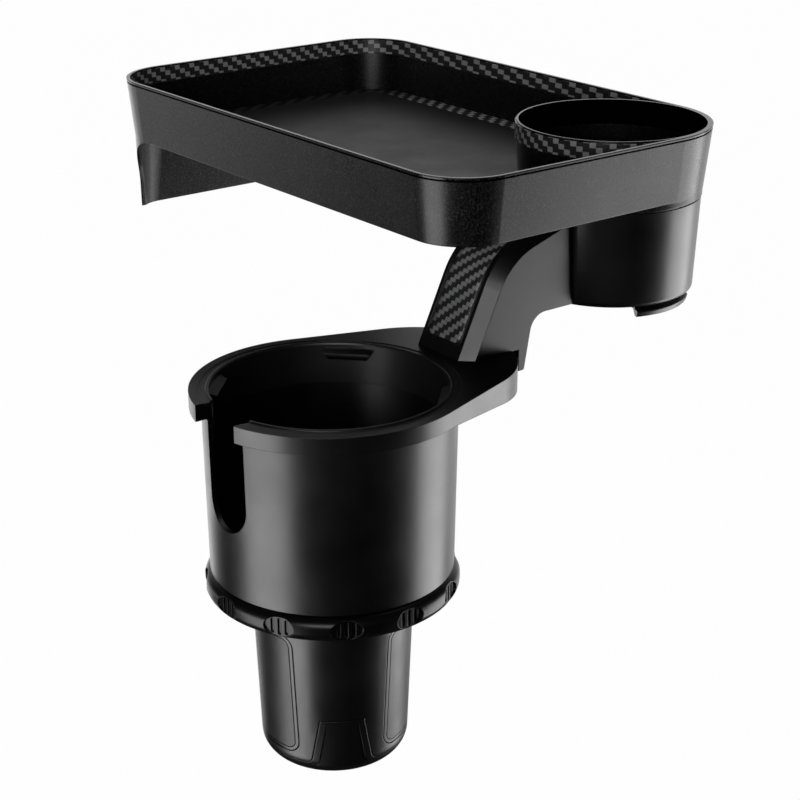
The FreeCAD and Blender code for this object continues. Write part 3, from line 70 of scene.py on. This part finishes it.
# Sizes of the part that the dressed pieces follow, in metres
SOCKET_X = 0.1557
TRAY_TOP = 0.2577
HOLE_CORNER = 0.0441
TRAY_NEAR_X = 0.0286
TRAY_FAR_X = SOCKET_X + HOLE_CORNER
TRAY_NEAR_Y = -HOLE_CORNER
TRAY_FAR_Y = 0.2276
TRAY_CORNERS = (0.026, HOLE_CORNER, 0.027, 0.031)
TRAY_WALL = 0.0016
DRAFT = math.tan(math.radians(5.8))
BAND_TOP = TRAY_TOP - 0.0008
BAND_BOTTOM = BAND_TOP - 0.007
BAND_DEPTH = 0.0006
HOLE_OUTER = 0.0425
HOLE_BAND_FIRST = math.radians(11.5)
HOLE_BAND_LAST = math.radians(258.5)
FLOOR_TOP = 0.2303
FLOOR_GAP = 0.0004
BORDER_WIDTH = 0.0108
MAT_TOP = FLOOR_TOP + 0.001
COLLAR_TOP = 0.1693
ARM_FOOT = 0.0586
ARM_LEAN = math.radians(65.0)
ARM_RISE = math.radians(17.5)
ARM_BEND_Z = 0.2141
ARM_BEND_ROUND = 0.036
ARM_MIDDLE = 0.0019
INLAY_HALF = 0.0104
INLAY_START = COLLAR_TOP + 0.0061
INLAY_END_X = 0.1058
INLAY_CORNER = 0.0025
INLAY_THICKNESS = 0.001

# Sizes that only the dressed pieces have: how deep a woven skin lies, and the thin beads
SKIN = 0.00005
BEAD = 0.0003
MAT_BEAD_INSET = 0.0016
MAT_BEAD_CLEAR = 0.0025
FRAME_HALF = INLAY_HALF + 0.0009
FRAME_START = COLLAR_TOP + 0.005
FRAME_CORNER = 0.003

# The tray's polished rim: how far it reaches down, half the black line painted as shadow below it, and its
# width at the hole, inside which the hole is painted black as shade
POLISH_DEPTH = 0.0014
SHADE_LINE_HALF = 0.0004
HOLE_LIP = 0.0009

# Threads of the weaves; the rim's are wider on the long sides, by one over RIM_SIDE
INLAY_CELL = 0.00184
RIM_CELL = 0.00286
RIM_ROW = 0.00205
RIM_SIDE = 0.6
FLOOR_CELL = 0.00275
FLOOR_ROW = 0.0036
BLOCK_REPEAT = 3
BLOCK_LENGTH = 1.16
BAND_ROWS = (BAND_TOP - BAND_BOTTOM) / RIM_ROW

# Tones of the weaves' raised threads. The floor's border is painted lighter than the bands, as painted
# light since little light falls on it, and it fades to painted shade between two places in y, towards the
# far wall
INLAY_BRIGHT = 0.31
BAND_BRIGHT = 0.5
FLOOR_PAINTED_LIGHT = 0.62
FLOOR_PAINTED_SHADE = 0.06
FLOOR_SHADE_FADE = (0.165, 0.212)


# Node helpers
class Nodes:
    """A small writer for node trees: every call adds one node and returns one of its outputs."""

    def __init__(self, tree):
        self.tree = tree
        self.tree.nodes.clear()

    def add(self, kind, inputs=None, output=0, **settings):
        node = self.tree.nodes.new(kind)
        for key, value in settings.items():
            setattr(node, key, value)
        for key, value in (inputs or {}).items():
            self.feed(node.inputs[key], value)
        return node.outputs[output] if node.outputs else node

    def feed(self, socket, value):
        if isinstance(value, bpy.types.NodeSocket):
            self.tree.links.new(value, socket)
        else:
            socket.default_value = value

    def math(self, operation, a, b=0.0, c=0.0, clamp=False):
        return self.add("ShaderNodeMath", {0: a, 1: b, 2: c}, operation=operation, use_clamp=clamp)

    def times(self, a, b):
        return self.math("MULTIPLY", a, b)

    def measure(self, operation, a, b):
        """One number from two vectors, such as DOT_PRODUCT or DISTANCE."""
        return self.add("ShaderNodeVectorMath", {0: a, 1: tuple(b)}, output=1, operation=operation)

    def ramp(self, value, low, high, to_low=0.0, to_high=1.0, smooth=False):
        return self.add("ShaderNodeMapRange", {0: value, 1: low, 2: high, 3: to_low, 4: to_high},
                        interpolation_type="SMOOTHSTEP" if smooth else "LINEAR")

    def mix(self, factor, a, b):
        return self.math("ADD", a, self.times(factor, self.math("SUBTRACT", b, a)))

    def mix_colour(self, factor, a, b):
        node = self.tree.nodes.new("ShaderNodeMix")
        node.data_type = "RGBA"
        for socket, value in zip((node.inputs[0], node.inputs[6], node.inputs[7]), (factor, a, b)):
            self.feed(socket, value)
        return node.outputs[2]

    def split(self, vector):
        node = self.tree.nodes.new("ShaderNodeSeparateXYZ")
        self.feed(node.inputs[0], vector)
        return node.outputs[0], node.outputs[1], node.outputs[2]

    def noise(self, place, scale, detail, roughness=0.5):
        return self.add("ShaderNodeTexNoise", {
            "Vector": place, "Scale": scale, "Detail": detail, "Roughness": roughness})

    def arch(self, value, power=1.0):
        """0 at both ends of a thread's width or float, 1 in its middle; a low power flattens its top."""
        curve = self.math("MULTIPLY", self.times(value, self.math("SUBTRACT", 1.0, value)), 4.0, clamp=True)
        return self.math("POWER", curve, power)


def grey(value):
    return (value, value, value * 1.02, 1.0)


def white(value=1.0):
    return (value, value, value, 1.0)


# Camera at the photograph's place
def make_camera():
    data = bpy.data.cameras.new("camera")
    data.lens = LENS
    data.sensor_width = SENSOR
    data.clip_start = 0.01
    camera = bpy.data.objects.new("camera", data)
    bpy.context.collection.objects.link(camera)
    camera.location = CAMERA_PLACE
    camera.rotation_euler = (CAMERA_TILT, 0, -HEADING)
    bpy.context.scene.camera = camera


# White behind the object, a dim studio in front of it
def make_world():
    world = bpy.data.worlds.new("studio")
    bpy.context.scene.world = world
    world.use_nodes = True
    n = Nodes(world.node_tree)
    path = n.add("ShaderNodeLightPath").node
    way = n.add("ShaderNodeTexCoord").node.outputs["Generated"]
    behind = n.ramp(n.measure("DOT_PRODUCT", way, BACK), *GLOW_COSINES, smooth=True)
    seen = n.times(path.outputs["Is Glossy Ray"], behind)
    seen = n.math("MAXIMUM", seen, path.outputs["Is Camera Ray"])
    seen = n.math("MAXIMUM", seen, path.outputs["Is Transmission Ray"])
    colour = n.mix_colour(seen, grey(ROOM_TONE), white())
    n.add("ShaderNodeOutputWorld", {0: n.add("ShaderNodeBackground", {0: colour, 1: 1.0})})


def make_floor():
    """A white floor with a trace of shadow. Reflections show only the part of it behind the object."""
    mesh = bpy.data.meshes.new("floor")
    h = FLOOR_HALF
    mesh.from_pydata([(x, y, FLOOR_Z) for x, y in ((-h, -h), (h, -h), (h, h), (-h, h))], [], [(0, 1, 2, 3)])
    floor = bpy.data.objects.new("floor", mesh)
    bpy.context.collection.objects.link(floor)
    paint = bpy.data.materials.new("pale_floor")
    paint.use_nodes = True
    n = Nodes(paint.node_tree)
    path = n.add("ShaderNodeLightPath").node
    camera = path.outputs["Is Camera Ray"]
    place = n.add("ShaderNodeNewGeometry").node.outputs["Position"]
    behind = n.ramp(n.measure("DOT_PRODUCT", place, BACK), *GLOW_METRES, smooth=True)
    glow_weight = n.times(path.outputs["Is Glossy Ray"], behind)
    glow_weight = n.math("MAXIMUM", glow_weight, path.outputs["Is Transmission Ray"])
    glow_weight = n.math("MAXIMUM", glow_weight, n.times(camera, 1 - PAINT_SHARE))
    tone = n.ramp(n.noise(place, 9.0, 3.0), 0.3, 0.7, 0.95, 1.05)
    tone = n.times(tone, n.mix(camera, 0.03, 0.80))
    matt = n.add("ShaderNodeBsdfDiffuse", {0: n.mix_colour(tone, white(0.0), white())})
    glow = n.add("ShaderNodeEmission", {0: white(), 1: 1.0})
    n.add("ShaderNodeOutputMaterial", {0: n.add("ShaderNodeMixShader", {0: glow_weight, 1: matt, 2: glow})})
    floor.data.materials.append(paint)


def softbox(name, degrees, distance, centre_z, width, height, radiance, aim_z):
    """A soft light. degrees is its heading seen from above: 0 at the camera, positive to its right."""
    turn = math.radians(degrees)
    way = -BACK * math.cos(turn) + RIGHT * math.sin(turn)
    data = bpy.data.lights.new(name, "AREA")
    data.shape = "RECTANGLE"
    data.size = width
    data.size_y = height
    data.energy = radiance * math.pi * width * height
    lamp = bpy.data.objects.new(name, data)
    bpy.context.collection.objects.link(lamp)
    lamp.location = STUDIO_MIDDLE + way * distance + Vector((0, 0, centre_z))
    aim = STUDIO_MIDDLE + Vector((0, 0, aim_z))
    lamp.rotation_euler = (aim - lamp.location).to_track_quat("-Z", "Y").to_euler()
    lamp.visible_camera = False


def make_lights():
    """Upright walls mirror what lies below them here, so the side lights reach far down."""
    softbox("left_light", -56.5, 0.75, LIGHT_Z, 0.58, 0.72, 4.1, aim_z=LIGHT_Z)
    softbox("right_light", 103, 0.78, LIGHT_Z, 0.54, 0.72, 4.1, aim_z=LIGHT_Z)
    softbox("rim_light", -152, 0.9, LIGHT_Z, 0.60, 0.72, 0.7, aim_z=LIGHT_Z)
    softbox("front_light", -8, 1.3, 0.50, 0.70, 0.42, 4.4, aim_z=0.2)
    softbox("top_light", 170, 0.5, 1.2, 1.2, 0.8, 0.7, aim_z=0.05)


# Materials
def surface_nodes(name):
    m = bpy.data.materials.new(name)
    m.use_nodes = True
    n = Nodes(m.node_tree)
    place = n.add("ShaderNodeTexCoord").node.outputs["Object"]
    return m, n, place


def moulded(name, base, roughness, ior, mottle=0.25, grain=None, bevel=0.0004, speckle=0.0, rim=None):
    """Moulded plastic or rubber, or plain metal. base is its tone, mottle how much its gloss wanders,
    grain the (size, depth) of its texture in metres, bevel the rounding of its edges, speckle the paler
    tone of the grain's peaks, and rim the height of a polished rim, with a black line painted as shadow
    below it and black painted as shade inside the second cup's hole."""
    m, n, place = surface_nodes(name)
    cloud = n.noise(place, 38.0, 4.0, 0.6)
    rough = n.ramp(cloud, 0.3, 0.7, roughness * (1 - mottle * 0.5), roughness * (1 + mottle * 0.5))
    colour = n.mix_colour(n.ramp(cloud, 0.3, 0.7), grey(base * 0.85), grey(base * 1.15))
    normal = n.add("ShaderNodeBevel", {"Radius": bevel}, samples=6)
    if rim:
        height = n.split(place)[2]
        polish = n.math("GREATER_THAN", height, rim - POLISH_DEPTH)
        rough = n.mix(polish, rough, 0.2)
    if grain:
        size, depth = grain
        fine = n.noise(place, 1 / size, 2.0, 0.55)
        colour = n.mix_colour(n.ramp(fine, 0.48, 0.7), colour, grey(base + speckle))
        if rim:
            fine = n.mix(polish, fine, 0.5)
        normal = n.add("ShaderNodeBump", {
            "Strength": 1.0, "Distance": depth, "Height": fine, "Normal": normal})
    shader = n.add("ShaderNodeBsdfPrincipled", {
        "Base Color": colour, "Roughness": rough, "IOR": ior, "Normal": normal})
    if rim:
        # Painted shade: a black line where a shadow gap under the rim would be, and black inside the second
        # cup's hole
        painted_shade = n.math("COMPARE", height, rim - POLISH_DEPTH, SHADE_LINE_HALF)
        reach = n.measure("DISTANCE", place, (SOCKET_X, 0, rim))
        painted_shade = n.math("MAXIMUM", painted_shade, n.math("LESS_THAN", reach, HOLE_OUTER - HOLE_LIP))
        shade_black = n.add("ShaderNodeBsdfDiffuse", {0: grey(0.001)})
        shader = n.add("ShaderNodeMixShader", {0: painted_shade, 1: shader, 2: shade_black})
    n.add("ShaderNodeOutputMaterial", {0: shader})
    return m


def inlay_pattern(n, grid):
    """2 x 2 twill, one thread to each cell of the grid."""
    across, along = n.split(grid)[:2]
    in_column = n.math("FRACT", across)
    in_row = n.math("FRACT", along)
    phase = n.math("FLOORED_MODULO", n.math("ADD", n.math("FLOOR", across), n.math("FLOOR", along)), 4.0)
    raised = n.math("LESS_THAN", phase, 1.5)
    up = n.times(n.math("ADD", phase, in_row), 0.5)
    beside = n.times(n.math("ADD", n.math("SUBTRACT", phase, 2.0), in_column), 0.5)
    warp = n.times(n.arch(in_column, 0.35), n.arch(up, 0.14))
    weft = n.times(n.arch(in_row, 0.35), n.arch(beside, 0.14))
    return raised, n.mix(raised, weft, warp), INLAY_BRIGHT


def block_pattern(n, across, along, lean):
    """Threads that show as blocks, each a row past the one beside it. lean is 1 or -1, their way."""
    in_column = n.math("FRACT", across)
    step = n.math("ADD", along, n.times(n.math("FLOOR", across), lean))
    overlap = (BLOCK_LENGTH - 1) / 2
    step = n.math("FLOORED_MODULO", n.math("ADD", step, overlap), BLOCK_REPEAT)
    raised = n.math("LESS_THAN", step, BLOCK_LENGTH)
    warp = n.times(n.arch(in_column), n.arch(n.math("DIVIDE", step, BLOCK_LENGTH)))
    weft = n.arch(n.math("FRACT", along), 0.35)
    return raised, n.mix(raised, weft, n.math("POWER", warp, 0.2))


def band_pattern(n, grid):
    """Blocks, one to each cell of the grid."""
    across, along = n.split(grid)[:2]
    return *block_pattern(n, across, along, 1.0), BAND_BRIGHT


def floor_pattern(n, grid):
    """Blocks in x and y, painted lighter than the bands as painted light, which fade to painted shade
    towards the tray's far end.
    """
    x, y = n.split(grid)[:2]
    blocks = block_pattern(n, n.math("DIVIDE", y, FLOOR_CELL), n.math("DIVIDE", x, FLOOR_ROW), -1.0)
    # Painted light and shade: the border's tone falls from a painted light to a painted shade towards the
    # far wall
    return *blocks, n.ramp(y, *FLOOR_SHADE_FADE, FLOOR_PAINTED_LIGHT, FLOOR_PAINTED_SHADE)


def weave(name, pattern, flat=False):
    """Carbon-look weave under a clear film. pattern(n, grid) gives how raised each point is, the relief of
    its thread, and the brightest tone. The grid is the piece's UV map, or x and y in metres when flat."""
    m, n, place = surface_nodes(name)
    grid = place if flat else n.add("ShaderNodeUVMap", uv_map="weave")
    raised, relief, bright = pattern(n, grid)
    strand = n.noise(place, 2600.0, 1.0)
    tone = n.times(bright, n.mix(raised, 0.07, 1.0))
    # Painted shade: each thread darkens towards its edges and into the gaps between threads, as its
    # roundness would be shaded
    tone = n.times(tone, n.ramp(relief, 0.1, 0.7, 0.08, 1.0))
    tone = n.times(tone, n.ramp(strand, 0.3, 0.7, 0.85, 1.15))
    shader = n.add("ShaderNodeBsdfPrincipled", {
        "Base Color": n.mix_colour(tone, white(0.0), grey(1.0)),
        "Roughness": 0.4,
        "IOR": 1.45,
        "Normal": n.add("ShaderNodeBump", {"Strength": 0.6, "Distance": 0.0001, "Height": relief}),
        "Coat Weight": 0.15,
        "Coat Roughness": 0.2,
    })
    n.add("ShaderNodeOutputMaterial", {0: shader})
    return m


def paint_cad():
    """Gives every solid the finish of its slot, and returns the finishes."""
    finishes = {
        "satin_black": moulded("satin_black", 0.0012, 0.34, 1.65, grain=(0.0006, 0.000004)),
        "grained_black": moulded("grained_black", 0.0015, 0.3, 1.44, grain=(0.0007, 0.00003), bevel=0.0008,
                                 speckle=0.042, rim=TRAY_TOP),
        "gloss_black": moulded("gloss_black", 0.002, 0.3, 1.42, mottle=0.15),
        "soft_rubber": moulded("soft_rubber", 0.006, 0.4, 1.62, grain=(0.0005, 0.00001)),
        "mat_grey": moulded("mat_grey", 0.02, 0.45, 1.3, grain=(0.0005, 0.000006)),
        "dark_steel": moulded("dark_steel", 0.08, 0.3, 2.2),
        "twill": weave("floor_weave", floor_pattern, flat=True),
    }
    for part in frame["record"]["subparts"]:
        for holder in frame["nodes"][part["node"]].material_slots:
            holder.material = finishes[part["material_slot"]]
    return finishes


# Dressed pieces
def mesh_piece(name, points, faces, uvs=None):
    """A smooth object from points and faces; uvs gives each point its place in the weave, in cells."""
    mesh = bpy.data.meshes.new(name)
    mesh.from_pydata(points, [], faces)
    if uvs:
        layer = mesh.uv_layers.new(name="weave")
        for loop in mesh.loops:
            layer.data[loop.index].uv = uvs[loop.vertex_index]
    for polygon in mesh.polygons:
        polygon.use_smooth = True
    mesh.set_sharp_from_angle(angle=math.radians(35))
    piece = bpy.data.objects.new(name, mesh)
    bpy.context.collection.objects.link(piece)
    return piece


def strip_faces(rows, columns):
    """Faces between neighbouring rows of points, each row with the same number of columns."""
    faces = []
    for row in range(rows - 1):
        for column in range(columns - 1):
            a = row * columns + column
            faces.append((a, a + columns, a + columns + 1, a + 1))
    return faces


def wall_inset(height):
    """How far the drafted wall's inside lies within the tray's outline at a height."""
    return TRAY_WALL + (TRAY_TOP - height) * DRAFT


def tray_path(inset, steps=14):
    """Points of the tray's outline moved in by `inset`, and how far along the rim's own outline each
    one is. The long sides count less, since the weave's columns are wider there."""
    x0, y0, x1, y1 = TRAY_NEAR_X, TRAY_NEAR_Y, TRAY_FAR_X, TRAY_FAR_Y
    corners = (((x0, y0), 1, 1, 180), ((x1, y0), -1, 1, 270), ((x1, y1), -1, -1, 0), ((x0, y1), 1, -1, 90))
    points = []
    rim = []
    for (corner, sign_x, sign_y, first), radius in zip(corners, TRAY_CORNERS):
        centre = Vector((corner[0] + sign_x * radius, corner[1] + sign_y * radius))
        for step in range(steps + 1):
            angle = math.radians(first + 90 * step / steps)
            out = Vector((math.cos(angle), math.sin(angle)))
            rim.append(centre + out * radius)
            points.append(centre + out * (radius - inset))
    distance = [0.0]
    for i in range(1, len(rim) + 1):
        step = rim[i % len(rim)] - rim[i - 1]
        distance.append(distance[-1] + math.hypot(step.x, step.y * RIM_SIDE))
    return points, distance


def cut_round_hole(piece, radius):
    """Takes away a piece's faces near the second cup's axis."""
    axis = Vector((SOCKET_X, 0))
    sheet = bmesh.new()
    sheet.from_mesh(piece.data)
    inside = [face for face in sheet.faces if (face.calc_center_median().xy - axis).length < radius]
    bmesh.ops.delete(sheet, geom=inside, context="FACES")
    sheet.to_mesh(piece.data)
    sheet.free()


def rim_twill(woven):
    """The band inside the tray's rim, open where the second cup's wall takes over."""
    profile = (
        (wall_inset(BAND_TOP) - BAND_DEPTH, BAND_TOP, 0.0),
        (wall_inset(BAND_TOP) - SKIN, BAND_TOP, 0.0),
        (wall_inset(BAND_BOTTOM) - SKIN, BAND_BOTTOM, BAND_ROWS),
        (wall_inset(BAND_BOTTOM) - BAND_DEPTH, BAND_BOTTOM, BAND_ROWS),
    )
    points, uvs = [], []
    for inset, height, weave_row in profile:
        path, distance = tray_path(inset)
        path.append(path[0])
        scale = round(distance[-1] / RIM_CELL / BLOCK_REPEAT) * BLOCK_REPEAT / distance[-1]
        points += [(place.x, place.y, height) for place in path]
        uvs += [(along * scale, weave_row) for along in distance]
    piece = mesh_piece("rim_twill", points, strip_faces(len(profile), len(path)), uvs)
    cut_round_hole(piece, HOLE_OUTER + BAND_DEPTH)
    piece.data.materials.append(woven)
    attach(piece, "tray")
    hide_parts("tray_rim_band")


def hole_twill(woven, steps=110):
    """The band on the wall round the second cup, as far as that wall stands free."""
    outer = HOLE_OUTER + BAND_DEPTH
    profile = (
        (HOLE_OUTER, BAND_TOP, 0.0),
        (outer, BAND_TOP, 0.0),
        (outer, BAND_BOTTOM, BAND_ROWS),
        (HOLE_OUTER, BAND_BOTTOM, BAND_ROWS),
    )
    points, uvs = [], []
    for radius, height, weave_row in profile:
        for step in range(steps + 1):
            angle = HOLE_BAND_FIRST + (HOLE_BAND_LAST - HOLE_BAND_FIRST) * step / steps
            points.append((SOCKET_X + radius * math.cos(angle), radius * math.sin(angle), height))
            uvs.append((-angle * outer / RIM_CELL, weave_row))
    piece = mesh_piece("hole_twill", points, strip_faces(len(profile), steps + 1), uvs)
    piece.data.materials.append(woven)
    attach(piece, "tray")
    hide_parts("cup_hole_band")


def face_path(depth, start_z, steps=24):
    """Points (x, z) up the arm's face and round its bend, `depth` behind the surface, and how far
    along each one is."""
    lean = Vector((math.cos(ARM_LEAN), math.sin(ARM_LEAN)))
    rise = Vector((math.cos(ARM_RISE), math.sin(ARM_RISE)))
    inward = Vector((math.sin(ARM_LEAN), -math.cos(ARM_LEAN)))
    bend = Vector((ARM_FOOT + (ARM_BEND_Z - COLLAR_TOP) / math.tan(ARM_LEAN), ARM_BEND_Z))
    setback = ARM_BEND_ROUND * math.tan((ARM_LEAN - ARM_RISE) / 2)
    centre = bend - lean * setback + inward * ARM_BEND_ROUND
    radius = ARM_BEND_ROUND - depth
    up_face = (start_z - COLLAR_TOP) / math.sin(ARM_LEAN)
    foot = Vector((ARM_FOOT, COLLAR_TOP)) + lean * up_face + inward * depth
    arc_start = bend - lean * setback + inward * depth
    path = [foot + (arc_start - foot) * step / steps for step in range(steps)]
    for step in range(steps + 1):
        angle = ARM_LEAN + (ARM_RISE - ARM_LEAN) * step / steps
        path.append(centre - Vector((math.sin(angle), -math.cos(angle))) * radius)
    last = path[-1]
    reach = (INLAY_END_X - last.x) / rise.x
    path += [last + rise * reach * (step + 1) / 8 for step in range(8)]
    distance = [0.0]
    for i in range(1, len(path)):
        distance.append(distance[-1] + (path[i] - path[i - 1]).length)
    return path, distance


def foot_half(distance, half, corner):
    """Half width of a strip at a distance from its foot, with round corners there."""
    if distance >= corner:
        return half
    return half - corner + math.sqrt(max(corner ** 2 - (corner - distance) ** 2, 0))


def inlay_twill(woven, across=6):
    """The arm's woven inlay, with close rows at its foot for the round corners."""
    path, distance = face_path(2 * SKIN, INLAY_START, steps=30)
    close_rows = [0.0001, 0.0004, 0.0009, 0.0016]
    first = (path[1] - path[0]).normalized()
    path = [path[0]] + [path[0] + first * d for d in close_rows] + path[2:]
    distance = [0.0] + close_rows + distance[2:]
    points, uvs = [], []
    for place, along in zip(path, distance):
        half = foot_half(along, INLAY_HALF, INLAY_CORNER)
        for i in range(across + 1):
            beside = half * (2 * i / across - 1)
            points.append((place.x, ARM_MIDDLE + beside, place.y))
            uvs.append((along / INLAY_CELL, beside / INLAY_CELL + 0.5))
    piece = mesh_piece("inlay_twill", points, strip_faces(len(path), across + 1), uvs)
    piece.data.materials.append(woven)
    thick = piece.modifiers.new("thickness", "SOLIDIFY")
    thick.thickness = INLAY_THICKNESS
    thick.offset = -1
    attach(piece, "base")
    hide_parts("arm_inlay")


def bead(name, path, sides=8):
    """A thin round bead along a path of 3-D points."""
    points, faces = [], []
    for i, place in enumerate(path):
        before = path[max(i - 1, 0)]
        after = path[min(i + 1, len(path) - 1)]
        along = (after - before).normalized()
        side = along.cross(Vector((0, 0, 1)))
        side = side.normalized() if side.length > 1e-6 else Vector((0, 1, 0))
        up = side.cross(along)
        for j in range(sides):
            angle = 2 * math.pi * j / sides
            points.append(place + (side * math.cos(angle) + up * math.sin(angle)) * BEAD)
    for i in range(len(path) - 1):
        for j in range(sides):
            a = i * sides
            b = a + sides
            k = (j + 1) % sides
            faces.append((a + j, b + j, b + k, a + k))
    return mesh_piece(name, [tuple(p) for p in points], faces)


def inlay_frame(finish):
    """Thin raised line round the arm's inlay."""
    path, distance = face_path(-SKIN, FRAME_START)
    halves = [foot_half(d, FRAME_HALF, FRAME_CORNER) for d in distance]
    left = [Vector((p.x, ARM_MIDDLE + h, p.y)) for p, h in zip(path, halves)]
    right = [Vector((p.x, ARM_MIDDLE - h, p.y)) for p, h in zip(path, halves)]
    piece = bead("inlay_frame", left[::-1] + right)
    piece.data.materials.append(finish)
    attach(piece, "base")


def mat_bead(finish):
    """Thin raised line near the edge of the tray's mat, open at the second cup."""
    path = tray_path(wall_inset(FLOOR_TOP) + FLOOR_GAP + BORDER_WIDTH + MAT_BEAD_INSET)[0]
    axis = Vector((SOCKET_X, 0))
    clear = [(p - axis).length > HOLE_OUTER + MAT_BEAD_CLEAR for p in path]
    first = next(i for i in range(len(path)) if clear[i] and not clear[i - 1])
    order = list(range(first, len(path))) + list(range(first))
    piece = bead("mat_bead", [Vector((path[i].x, path[i].y, MAT_TOP)) for i in order if clear[i]])
    piece.data.materials.append(finish)
    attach(piece, "tray")


make_camera()
make_world()
make_floor()
make_lights()
finishes = paint_cad()
band_weave = weave("band_weave", band_pattern)
rim_twill(band_weave)
hole_twill(band_weave)
inlay_twill(weave("inlay_weave", inlay_pattern))
inlay_frame(finishes["satin_black"])
mat_bead(finishes["mat_grey"])

bpy.context.scene.view_settings.view_transform = "Standard"
